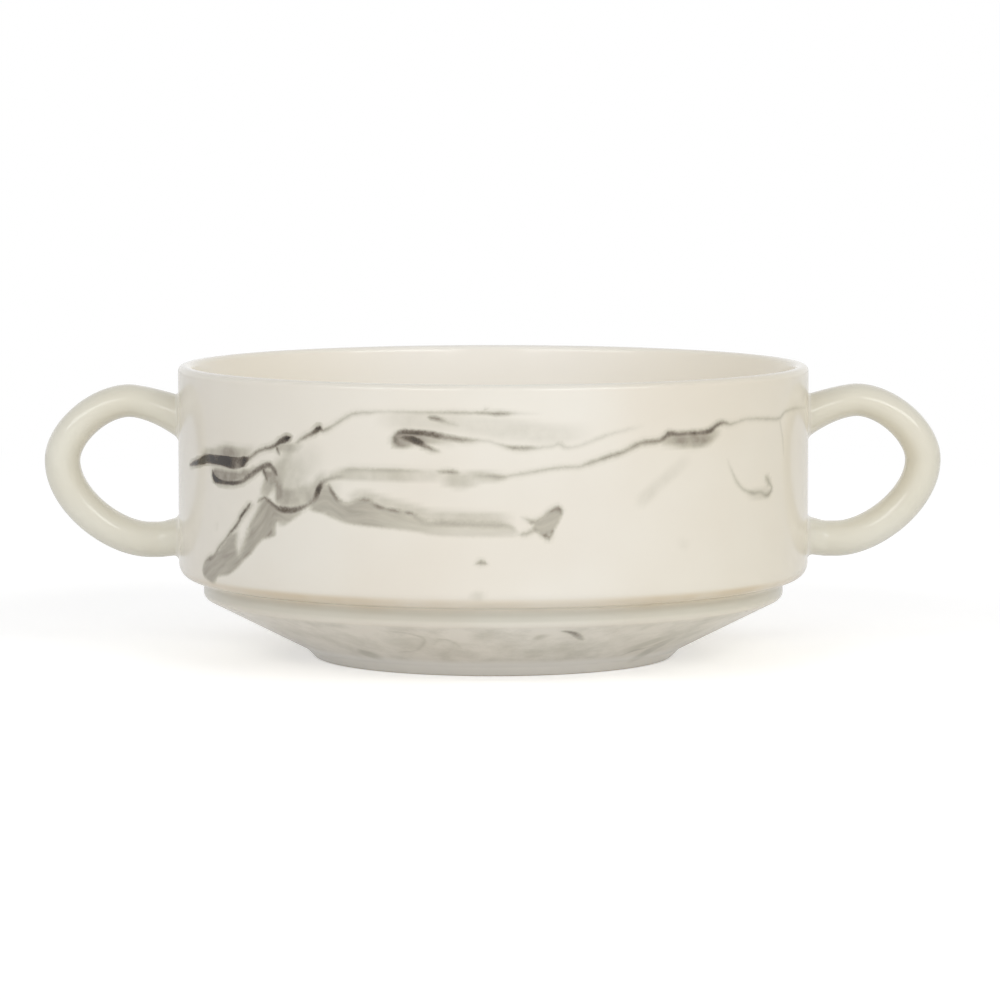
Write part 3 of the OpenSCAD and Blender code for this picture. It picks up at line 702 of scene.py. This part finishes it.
def edge_field(u, v, outline):
    """For each place the distance inside an outline, negative outside it."""
    line = smooth_stroke(outline, closed=True)
    field = np.full(len(u), -EDGE_REACH)
    rows = near(line, u, v)
    x, y = u[rows, None], v[rows, None]
    a, b = line[:-1], line[1:]
    crossed = ((a[:, 1] > y) != (b[:, 1] > y))
    rise = np.where(b[:, 1] == a[:, 1], 1, b[:, 1] - a[:, 1])
    inside = (crossed & (x < a[:, 0] + (y - a[:, 1]) * (b[:, 0] - a[:, 0]) / rise)).sum(axis=1) % 2 == 1
    reach = measure(line, u[rows], v[rows])[1]
    field[rows] = np.clip(np.where(inside, reach, -reach), -EDGE_REACH, EDGE_REACH)
    return field


def grey_field(u, v, strokes):
    """For each place: how grey the strokes make it, and its place along and across the nearest."""
    field = np.zeros((len(u), 3))
    for edge, points in strokes:
        line = smooth_stroke(points)
        rows = near(line, u, v)
        signed, reach, values, along = measure(line, u[rows], v[rows])
        grey = values[:, 1] * ease((np.maximum(values[:, 0], 0) + edge - reach) / edge)
        stronger = grey > field[rows, 0]
        field[rows[stronger]] = np.column_stack([grey, along, signed])[stronger]
    return field


def paint(mesh, name, values):
    """Store one vector for each point of a mesh."""
    mesh.attributes.new(name, "FLOAT_VECTOR", "POINT").data.foreach_set("vector", values.ravel())


def paint_marbling(mesh):
    """Lay the veins, the greys and the painted shade under the wall on the outside; the lined inside is
    marked as well.
    """
    places = np.empty(len(mesh.vertices) * 3)
    mesh.vertices.foreach_get("co", places)
    x, y, z = places.reshape(-1, 3).T / MM
    turn = np.arctan2(x, -y) - math.radians(MARBLING_TURN)
    turn = np.mod(turn + math.pi, 2 * math.pi) - math.pi
    back = np.abs(turn) > math.pi / 2
    turn = np.where(back, np.copysign(math.pi, turn) - turn, turn)
    u, v = unroll(turn, np.where(back & (z > SHELF_Z), BACK_MIRROR_Z - z, z))
    heights = [FOOT_H, SHELF_Z, SHELF_Z + WALL_T, BOWL_H]
    middles = [FOOT_R, WALL_R - 3 * WALL_T / 2, WALL_R - WALL_T / 2, WALL_R - LIP_T / 2]
    inside = np.hypot(x, y) < np.interp(z, heights, middles)
    v[inside] = -BOWL_H
    for number, strokes in enumerate(VEIN_LAYERS):
        paint(mesh, f"vein_{number + 1}", vein_field(u, v, strokes))
    leaf = np.minimum(edge_field(u, v, LEAF), -CORE_SOFTNESS * edge_field(u, v, LEAF_CORE))
    edge = np.maximum(leaf, np.maximum(edge_field(u, v, BAND), edge_field(u, v, ARROW_TIP)))
    inner = grey_field(u, v, INNER_GREYS)
    outer = grey_field(u, v, SOFT_GREYS)
    paint(mesh, "grey", np.column_stack([edge, inner[:, 0], outer[:, 0]]))
    # Painted shade under the wall's skirt: darker at some turns, fading out above and below
    skirt_shade = np.interp(np.degrees(turn), *zip(*SKIRT_SHADE_TURNS))
    skirt_shade *= ease((SKIRT_SHADE_TOP - z) / SKIRT_SHADE_FADE_TOP) * ease((z - SKIRT_SHADE_LOW) / SKIRT_SHADE_FADE_LOW)
    lined = inside & (z > FOOT_RECESS + FLOOR_T / 2)
    paint(mesh, "flow", np.column_stack([np.where(inside, -lined.astype(float), skirt_shade), inner[:, 1:]]))


# Colours of the glazes and of the bare clay
CREAM_LIGHT = "F1ECE1"
CREAM_DEEP = "EDE6D9"
HANDLE_LIGHT = "ECE9DB"
HANDLE_DEEP = "E6E1D0"
SLIP_LIGHT = "ECE8DC"
SLIP_DEEP = "E7E1D1"
# White of the lined inside, and of the painted light from the floor at the foot
LINER_AND_FOOT_LIGHT_WHITE = "FCF8F0"
# Painted shade under the wall's skirt, as a tan tint
SKIRT_SHADE_TAN = "ECE1CE"
# Painted warm light on the right of the outside and the left of the inside
WARM_LIGHT_TINT = "FFFCF4"
# Painted shade on the step that is recessed under the wall, as a grey tint
STEP_SHADE_GREY = "E9EBE9"
BISQUE = "E1D7C6"
# The pigment darkens the glaze step by step from thin grey slip to nearly black
PIGMENT_STEPS = [(0.0, "FFFFFF"), (0.25, "D9D9D3"), (0.5, "B0ACA6"), (0.8, "6E665D"), (1.0, "2E2720")]

# Gloss of the fired glaze and of the dry foot
GLAZE_IOR = 1.5
GLAZE_ROUGHNESS = 0.12
DRY_ROUGHNESS = 0.75

# Sizes of the patches in the glaze, and how far its edges stray and fade, in mm
CLOUD_SIZE = 30.0
RIPPLE_SIZE = 12.0
RIPPLE_DEPTH = 0.03
GRIT_SIZE = 0.35
GRIT_DEPTH = 0.03
# Size of the patches in the painted shade under the wall
SKIRT_SHADE_PATCH_SIZE = 9.0
WASH_SIZE = 7.0
VEIN_PATCH_SIZE = 2.0
GRAIN_SIZE = 0.4
STREAK_SIZE = 1.1
VEIN_WANDER = 0.3
VEIN_WANDER_SIZE = 1.4
RAGGED = 0.26
RAGGED_SIZE = 0.5
SHARP_EDGE = 0.2
BLURRED_EDGE = 0.5
VEIN_CORE = 0.6
HALO_REACH = 1.1

# Where the tones that follow the shape begin and end, in mm; painted warm light and painted shade are among
# them
# Painted warm light grows sideways between these distances
WARM_LIGHT_START = 14.0
WARM_LIGHT_END = 48.0
# Painted shade on the recessed step lies between these heights
STEP_SHADE_TOP = 13.8
STEP_SHADE_LOW = 10.6
STEP_SHADE_FADE = 1.0
WASH_TOP = 10.8
WASH_LOW = 2.4
WASH_FADE = 0.9
DRY_TOP = 0.1
DRY_EDGE = 0.1

# Darkness at which a vein's edge is blurred or sharp, its strength at edge and core, and its stain
FAINT_TONE = 0.3
DARK_TONE = 0.8
VEIN_SHARES = (0.88, 1.15)
HALO_TONE = 0.4
# A streak's width as a share of its length
STREAK_STRETCH = 0.18

# The least and the most that each kind of patch gives
PATCHES = (0.75, 1.15)
GRAIN = (0.88, 1.12)
STREAKS = (0.82, 1.18)
WASHES = (0.01, 0.21)
# Least and most of the painted shade under the wall
SKIRT_SHADE_PATCHES = (0.6, 1.0)
# The part of a noise's values over which a patch goes from its least to its most
NOISE_SPAN = (0.3, 0.7)
CLOUD_SPAN = (0.35, 0.65)
WASH_SPAN = (0.4, 0.68)


def per(size):
    """The noise scale that makes patches about size mm across."""
    return 1 / (size * MM)


def patchy(tree, place, scale, tones, span=NOISE_SPAN, **character):
    """Soft patches whose values run from the first tone to the second."""
    spots = add(tree, "ShaderNodeTexNoise", {"Vector": place, "Scale": scale, **character})
    return add(tree, "ShaderNodeMapRange", {"Value": spots, "From Min": span[0], "From Max": span[1],
                                            "To Min": tones[0], "To Max": tones[1]})


def belt(tree, height, low, high, fade):
    """One between two heights in mm, fading to nothing over the last fade mm inside each end."""
    rising = add(tree, "ShaderNodeMapRange",
                 {"Value": height, "From Min": low * MM, "From Max": (low + fade) * MM})
    falling = add(tree, "ShaderNodeMapRange",
                  {"Value": height, "From Min": high * MM, "From Max": (high - fade) * MM})
    return add(tree, "ShaderNodeMath", {0: rising, 1: falling}, operation="MULTIPLY")


def glaze_skin(tree, place, light, deep):
    """The cream glaze itself: soft clouds of colour and the faint ripple that a poured glaze keeps."""
    shader = tree.nodes["Principled BSDF"]
    shader.inputs["IOR"].default_value = GLAZE_IOR
    shader.inputs["Roughness"].default_value = GLAZE_ROUGHNESS
    clouds = patchy(tree, place, per(CLOUD_SIZE), (0, 1), CLOUD_SPAN)
    cream = add(tree, "ShaderNodeMix", {0: clouds, 6: linear(deep), 7: linear(light)}, data_type="RGBA")
    ripple = add(tree, "ShaderNodeTexNoise", {"Vector": place, "Scale": per(RIPPLE_SIZE)})
    bump = add(tree, "ShaderNodeBump", {"Height": ripple, "Distance": RIPPLE_DEPTH * MM, "Strength": 1.0})
    tree.links.new(bump.outputs["Normal"], shader.inputs["Normal"])
    return shader, cream.outputs[2], bump


def new_material(name):
    material = bpy.data.materials.new(name)
    material.use_nodes = True
    tree = material.node_tree
    place = add(tree, "ShaderNodeTexCoord").outputs["Object"]
    return material, tree, place


def plain_glaze(name, light, deep):
    """Cream glaze on fired stoneware, poured and wiped: glossy, with slow changes of colour."""
    material, tree, place = new_material(name)
    shader, cream, _ = glaze_skin(tree, place, light, deep)
    tree.links.new(cream, shader.inputs["Base Color"])
    return material


def wandering(tree, place):
    """How far the edges of the marbling stray, in mm: slow bends and quick ragged ones."""
    bends = (-VEIN_WANDER / 2, VEIN_WANDER / 2)
    slow = patchy(tree, place, per(VEIN_WANDER_SIZE), bends, (0, 1), Detail=3.0)
    quick = patchy(tree, place, per(RAGGED_SIZE), (-RAGGED / 2, RAGGED / 2), (0, 1))
    return add(tree, "ShaderNodeMath", {0: slow, 1: quick}, operation="ADD")


def vein_mask(tree, wander, layer):
    """One layer of veins, drawn sharp from its distances with edges that wander, and the stain round it."""
    field = add(tree, "ShaderNodeAttribute", attribute_name=layer)
    parts = add(tree, "ShaderNodeSeparateXYZ", {0: field.outputs["Vector"]})
    tone = parts.outputs["Z"]
    shifted = add(tree, "ShaderNodeMath", {0: parts.outputs["X"], 1: wander}, operation="ADD")
    off = add(tree, "ShaderNodeMath", {0: shifted}, operation="ABSOLUTE")
    depth = add(tree, "ShaderNodeMath", {0: parts.outputs["Y"], 1: off}, operation="SUBTRACT")
    edge = add(tree, "ShaderNodeMapRange", {"Value": tone, "From Min": FAINT_TONE, "From Max": DARK_TONE,
                                            "To Min": BLURRED_EDGE, "To Max": SHARP_EDGE})
    outer = add(tree, "ShaderNodeMath", {0: edge, 1: -1.0}, operation="MULTIPLY")
    mask = add(tree, "ShaderNodeMapRange", {"Value": depth, "From Min": outer, "From Max": edge},
               interpolation_type="SMOOTHSTEP")
    core = add(tree, "ShaderNodeMapRange", {"Value": depth, "From Max": VEIN_CORE,
                                            "To Min": VEIN_SHARES[0], "To Max": VEIN_SHARES[1]})
    full = add(tree, "ShaderNodeMath", {0: mask, 1: core}, operation="MULTIPLY")
    vein = add(tree, "ShaderNodeMath", {0: full, 1: tone}, operation="MULTIPLY")
    bled = add(tree, "ShaderNodeMapRange", {"Value": depth, "From Min": -HALO_REACH, "From Max": 0.0,
                                            "To Max": HALO_TONE}, interpolation_type="SMOOTHSTEP")
    squared = add(tree, "ShaderNodeMath", {0: tone, 1: 2.0}, operation="POWER")
    stain = add(tree, "ShaderNodeMath", {0: bled, 1: squared}, operation="MULTIPLY")
    return vein, stain


def all_veins(tree, place, wander, patches):
    """The darkest vein at each place, patchy and grainy, and the darkest stain."""
    veins = 0.0
    stains = 0.0
    for number in range(len(VEIN_LAYERS)):
        vein, stain = vein_mask(tree, wander, f"vein_{number + 1}")
        veins = add(tree, "ShaderNodeMath", {0: veins, 1: vein}, operation="MAXIMUM")
        stains = add(tree, "ShaderNodeMath", {0: stains, 1: stain}, operation="MAXIMUM")
    grain = patchy(tree, place, per(GRAIN_SIZE), GRAIN, Detail=3.0)
    uneven = add(tree, "ShaderNodeMath", {0: patches, 1: grain}, operation="MULTIPLY")
    return add(tree, "ShaderNodeMath", {0: veins, 1: uneven}, operation="MULTIPLY"), stains


def all_greys(tree, wander, patches, stains, flow):
    """The grey slip: streaks drawn out along the strokes inside the outlines, and washes round them."""
    field = add(tree, "ShaderNodeAttribute", attribute_name="grey")
    grey = add(tree, "ShaderNodeSeparateXYZ", {0: field.outputs["Vector"]})
    along = add(tree, "ShaderNodeMath", {0: flow.outputs["Y"], 1: STREAK_STRETCH}, operation="MULTIPLY")
    drawn_out = add(tree, "ShaderNodeCombineXYZ", {"X": along, "Y": flow.outputs["Z"]})
    # These places are in mm already
    streaks = patchy(tree, drawn_out, 1 / STREAK_SIZE, STREAKS, Detail=3.0)
    streaked = add(tree, "ShaderNodeMath", {0: grey.outputs["Y"], 1: streaks}, operation="MULTIPLY")
    ragged = add(tree, "ShaderNodeMath", {0: grey.outputs["X"], 1: wander}, operation="ADD")
    within = add(tree, "ShaderNodeMapRange",
                 {"Value": ragged, "From Min": -BLURRED_EDGE, "From Max": BLURRED_EDGE},
                 interpolation_type="SMOOTHSTEP")
    inner = add(tree, "ShaderNodeMath", {0: streaked, 1: within}, operation="MULTIPLY")
    stained = add(tree, "ShaderNodeMath", {0: grey.outputs["Z"], 1: stains}, operation="MAXIMUM")
    outer = add(tree, "ShaderNodeMath", {0: stained, 1: patches}, operation="MULTIPLY")
    return add(tree, "ShaderNodeMath", {0: inner, 1: outer}, operation="MAXIMUM")


def slope_washes(tree, place, height, lined):
    """Thin grey rubbed over the sloping side, and none inside."""
    rubbed = patchy(tree, place, per(WASH_SIZE), WASHES, WASH_SPAN, Detail=6.0, Roughness=0.62)
    on_slope = belt(tree, height, WASH_LOW, WASH_TOP, WASH_FADE)
    thin = add(tree, "ShaderNodeMath", {0: rubbed, 1: on_slope}, operation="MULTIPLY")
    return add(tree, "ShaderNodeMath", {0: thin, 1: lined}, operation="SUBTRACT")


def glaze_tones(tree, place, cream, lined, spot, depth):
    """The glaze's colour: whiter inside; painted light whitening the foot and warming one side; painted
    shade greying the step and tinting tan under the wall.
    """
    height = spot.outputs["Z"]
    # Painted light from the floor whitens the glaze just above the foot
    foot_bounce_light = add(tree, "ShaderNodeMapRange",
                  {"Value": height, "From Min": (WASH_LOW + WASH_FADE) * MM, "From Max": WASH_LOW * MM})
    liner_and_foot_light = add(tree, "ShaderNodeMath", {0: lined, 1: foot_bounce_light}, operation="MAXIMUM")
    base = add(tree, "ShaderNodeMix", {0: liner_and_foot_light, 6: cream, 7: linear(LINER_AND_FOOT_LIGHT_WHITE)}, data_type="RGBA")
    # Painted warm light: to the right outside, to the left inside
    leftward = add(tree, "ShaderNodeMath", {0: spot.outputs["X"], 1: -1.0}, operation="MULTIPLY")
    lined_left = add(tree, "ShaderNodeMath", {0: lined, 1: leftward}, operation="MULTIPLY")
    sideways = add(tree, "ShaderNodeMath", {0: spot.outputs["X"], 1: lined_left}, operation="MAXIMUM")
    warm_light = add(tree, "ShaderNodeMapRange",
                 {"Value": sideways, "From Min": WARM_LIGHT_START * MM, "From Max": WARM_LIGHT_END * MM})
    # Painted shade greys the step, but not inside
    step = belt(tree, height, STEP_SHADE_LOW, STEP_SHADE_TOP, STEP_SHADE_FADE)
    step_shade = add(tree, "ShaderNodeMath", {0: step, 1: lined}, operation="SUBTRACT", use_clamp=True)
    # Painted shade under the wall, tinted tan and patchy
    skirt_shade_patches = patchy(tree, place, per(SKIRT_SHADE_PATCH_SIZE), SKIRT_SHADE_PATCHES)
    skirt_shade = add(tree, "ShaderNodeMath", {0: depth, 1: skirt_shade_patches}, operation="MULTIPLY", use_clamp=True)
    colour = base.outputs[2]
    for share, tint in ((warm_light, WARM_LIGHT_TINT), (step_shade, STEP_SHADE_GREY), (skirt_shade, SKIRT_SHADE_TAN)):
        tinted = add(tree, "ShaderNodeMix", {0: share, 6: colour, 7: linear(tint)},
                     data_type="RGBA", blend_type="MULTIPLY")
        colour = tinted.outputs[2]
    return colour


def darkened(tree, glaze, pigment):
    """The glaze over its pigment: clear where there is none, nearly black where the slip is thick."""
    darkening = add(tree, "ShaderNodeValToRGB", {"Fac": pigment})
    steps = darkening.color_ramp.elements
    for k, (at, colour) in enumerate(PIGMENT_STEPS):
        step = steps[k] if k < 2 else steps.new(at)
        step.position = at
        step.color = linear(colour)
    seen = add(tree, "ShaderNodeMix", {0: 1.0, 6: glaze, 7: darkening},
               data_type="RGBA", blend_type="MULTIPLY")
    return seen.outputs[2]


def marbled_glaze(name):
    """Cream glaze over dark slip, trailed and pulled: grey washes with crisp, broken dark lines."""
    material, tree, place = new_material(name)
    shader, cream, bump = glaze_skin(tree, place, CREAM_LIGHT, CREAM_DEEP)
    spot = add(tree, "ShaderNodeSeparateXYZ", {0: place})
    height = spot.outputs["Z"]
    field = add(tree, "ShaderNodeAttribute", attribute_name="flow")
    flow = add(tree, "ShaderNodeSeparateXYZ", {0: field.outputs["Vector"]})
    lined = add(tree, "ShaderNodeMapRange", {"Value": flow.outputs["X"], "From Min": 0.0, "From Max": -1.0})
    wander = wandering(tree, place)
    patches = patchy(tree, place, per(VEIN_PATCH_SIZE), PATCHES, Detail=4.0)
    veins, stains = all_veins(tree, place, wander, patches)
    greys = all_greys(tree, wander, patches, stains, flow)
    slope_wash = slope_washes(tree, place, height, lined)
    washes = add(tree, "ShaderNodeMath", {0: greys, 1: slope_wash}, operation="MAXIMUM")
    lifted = add(tree, "ShaderNodeMath", {0: 1.0, 1: veins}, operation="SUBTRACT")
    under = add(tree, "ShaderNodeMath", {0: washes, 1: lifted}, operation="MULTIPLY")
    pigment = add(tree, "ShaderNodeMath", {0: veins, 1: under}, operation="ADD", use_clamp=True)
    tones = glaze_tones(tree, place, cream, lined, spot, flow.outputs["X"])
    marbled = darkened(tree, tones, pigment)

    dry = add(tree, "ShaderNodeMapRange",
              {"Value": height, "From Min": (DRY_TOP + DRY_EDGE) * MM, "From Max": DRY_TOP * MM})
    colour = add(tree, "ShaderNodeMix", {0: dry, 6: marbled, 7: linear(BISQUE)}, data_type="RGBA")
    tree.links.new(colour.outputs[2], shader.inputs["Base Color"])
    roughness = add(tree, "ShaderNodeMapRange",
                    {"Value": dry, "To Min": GLAZE_ROUGHNESS, "To Max": DRY_ROUGHNESS})
    tree.links.new(roughness.outputs[0], shader.inputs["Roughness"])
    grit = add(tree, "ShaderNodeTexNoise", {"Vector": place, "Scale": per(GRIT_SIZE)})
    gritty = add(tree, "ShaderNodeBump", {"Height": grit, "Distance": GRIT_DEPTH * MM, "Strength": dry,
                                          "Normal": bump.outputs["Normal"]})
    tree.links.new(gritty.outputs["Normal"], shader.inputs["Normal"])
    return material


# The seven pieces, each in place of its own solid
BOWL_GLAZE = marbled_glaze("marbled_glaze_on_stoneware")
HANDLE_GLAZE = plain_glaze("cream_glaze_on_stoneware", HANDLE_LIGHT, HANDLE_DEEP)
SLIP_GLAZE = plain_glaze("cream_glaze_over_joining_slip", SLIP_LIGHT, SLIP_DEEP)
TURNING = turning_tree()
SWEEPING = bar_tree()

outline = body_outline()
places = [(p.x, 0, p.y) for p in outline]
bowl = made("marbled_bowl", station_mesh("bowl_outline", places, middle=places), TURNING,
            turn_steps=TURN_STEPS, glaze=BOWL_GLAZE)
paint_marbling(bowl.data)
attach(bowl, "root")
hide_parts("bowl_body")

for side_name, side in (("left", -1.0), ("right", 1.0)):
    loop = made(side_name + "_loop_handle", bar_mesh("handle_line", handle_stations(SLIP_REACH)), SWEEPING,
                ring_steps=RING_STEPS, side=side, glaze=HANDLE_GLAZE)
    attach(loop, "root")
    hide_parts(side_name + "_handle")
    for root_name, station in (("upper", upper_station), ("lower", lower_root_station)):
        slip = made(f"{side_name}_{root_name}_slip_fillet",
                    bar_mesh("slip_line", slip_stations(station, SLIP_REACH)), SWEEPING,
                    ring_steps=RING_STEPS, side=side, glaze=SLIP_GLAZE)
        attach(slip, "root")
        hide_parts(f"{side_name}_{root_name}_slip_joint")


# Studio, in metres: floor, world, lamps and camera
FLOOR_SIZE = 6.0
FLOOR_FADE_START = 0.16
FLOOR_FADE_END = 0.45
FLOOR_LIFT = 0.42
FLOOR_SHEEN = 0.2
FLOOR_ROUGHNESS = 0.9
floor_mesh = bpy.data.meshes.new("floor")
corners = [(x * FLOOR_SIZE, y * FLOOR_SIZE, 0) for x, y in ((-1, -1), (1, -1), (1, 1), (-1, 1))]
floor_mesh.from_pydata(corners, [], [(0, 1, 2, 3)])
floor = bpy.data.objects.new("floor", floor_mesh)
bpy.context.scene.collection.objects.link(floor)

floor_paint = bpy.data.materials.new("pale_studio_floor")
floor_paint.use_nodes = True
floor_tree = floor_paint.node_tree
floor_shader = floor_tree.nodes["Principled BSDF"]
floor_shader.inputs["Base Color"].default_value = linear("FFFFFF")
floor_shader.inputs["Roughness"].default_value = FLOOR_ROUGHNESS
floor_shader.inputs["Specular IOR Level"].default_value = 0.0
floor_shader.inputs["Emission Color"].default_value = (1, 1, 1, 1)
floor_mesh.materials.append(floor_paint)
floor_rays = add(floor_tree, "ShaderNodeLightPath")
floor_place = add(floor_tree, "ShaderNodeTexCoord")
floor_reach = add(floor_tree, "ShaderNodeVectorMath", {0: floor_place.outputs["Object"]},
                  operation="LENGTH")
far_off = add(floor_tree, "ShaderNodeMapRange",
              {"Value": floor_reach.outputs["Value"],
               "From Min": FLOOR_FADE_START, "From Max": FLOOR_FADE_END},
              interpolation_type="SMOOTHSTEP")
fade = add(floor_tree, "ShaderNodeMath", {0: far_off, 1: floor_rays.outputs["Is Camera Ray"]},
           operation="MULTIPLY")
lift_seen = add(floor_tree, "ShaderNodeMath", {0: floor_rays.outputs["Is Camera Ray"], 1: FLOOR_LIFT},
                operation="MULTIPLY")
lift_mirrored = add(floor_tree, "ShaderNodeMath", {0: floor_rays.outputs["Is Glossy Ray"], 1: FLOOR_SHEEN},
                    operation="MULTIPLY")
lift = add(floor_tree, "ShaderNodeMath", {0: lift_seen, 1: lift_mirrored}, operation="ADD")
floor_tree.links.new(lift.outputs[0], floor_shader.inputs["Emission Strength"])
white = add(floor_tree, "ShaderNodeEmission", {"Strength": 1.0})
floor_mix = add(floor_tree, "ShaderNodeMixShader", {0: fade, 1: floor_shader, 2: white})
floor_tree.links.new(floor_mix.outputs[0], floor_tree.nodes["Material Output"].inputs["Surface"])

WORLD_STRENGTH = 0.4
world = bpy.data.worlds.new("studio")
bpy.context.scene.world = world
world.use_nodes = True
world_tree = world.node_tree
background = world_tree.nodes["Background"]
rays = add(world_tree, "ShaderNodeLightPath")
seen = add(world_tree, "ShaderNodeMath",
           {0: rays.outputs["Is Camera Ray"], 1: rays.outputs["Is Glossy Ray"]}, operation="MAXIMUM")
seen_through = add(world_tree, "ShaderNodeMath", {0: seen, 1: rays.outputs["Is Transmission Ray"]},
                   operation="MAXIMUM")
strength = add(world_tree, "ShaderNodeMapRange",
               {"Value": seen_through, "To Min": WORLD_STRENGTH, "To Max": 1.0})
world_tree.links.new(strength.outputs[0], background.inputs["Strength"])
background.inputs["Color"].default_value = (1, 1, 1, 1)

LAMP_AIM_HEIGHT = 0.03


def soft_lamp(name, place, width, height, watts, mirrored):
    """A softbox that looks at the bowl; one that isn't mirrored leaves no highlight in the glaze."""
    data = bpy.data.lights.new(name, "AREA")
    data.shape = "RECTANGLE"
    data.size = width
    data.size_y = height
    data.energy = watts
    lamp = bpy.data.objects.new(name, data)
    lamp.location = place
    away = Vector(place) - Vector((0, 0, LAMP_AIM_HEIGHT))
    lamp.rotation_euler = away.to_track_quat("Z", "Y").to_euler()
    lamp.visible_glossy = mirrored
    bpy.context.scene.collection.objects.link(lamp)


soft_lamp("upper_left_softbox", (-0.66, -0.85, 0.7), 1.0, 0.3, 2.95, True)
soft_lamp("upper_right_softbox", (0.66, -0.85, 0.7), 1.0, 0.3, 3.4, True)
soft_lamp("low_left_softbox", (-0.75, -1.1, 0.16), 1.0, 0.28, 1.4, False)
soft_lamp("low_right_softbox", (0.75, -1.1, 0.16), 1.0, 0.28, 2.3, False)
soft_lamp("back_softbox", (0.1, 1.3, 0.5), 1.0, 0.4, 2.2, False)

CAMERA_TURN = math.radians(-1.0)
CAMERA_LIFT = math.radians(5.27)
CAMERA_DISTANCE = 0.8758
LENS = 180
SENSOR_WIDTH = 36
LOOK_HEIGHT = 27.11 * MM
LOOK_RIGHT = 1.17 * MM
camera_data = bpy.data.cameras.new("camera")
camera_data.lens = LENS
camera_data.sensor_width = SENSOR_WIDTH
camera = bpy.data.objects.new("camera", camera_data)
back = Vector((math.sin(CAMERA_TURN) * math.cos(CAMERA_LIFT),
               -math.cos(CAMERA_TURN) * math.cos(CAMERA_LIFT), math.sin(CAMERA_LIFT)))
to_right = Vector((math.cos(CAMERA_TURN), math.sin(CAMERA_TURN), 0))
camera.location = Vector((0, 0, LOOK_HEIGHT)) + to_right * LOOK_RIGHT + back * CAMERA_DISTANCE
camera.rotation_euler = back.to_track_quat("Z", "Y").to_euler()
bpy.context.scene.collection.objects.link(camera)
bpy.context.scene.camera = camera
bpy.context.scene.view_settings.view_transform = "Standard"
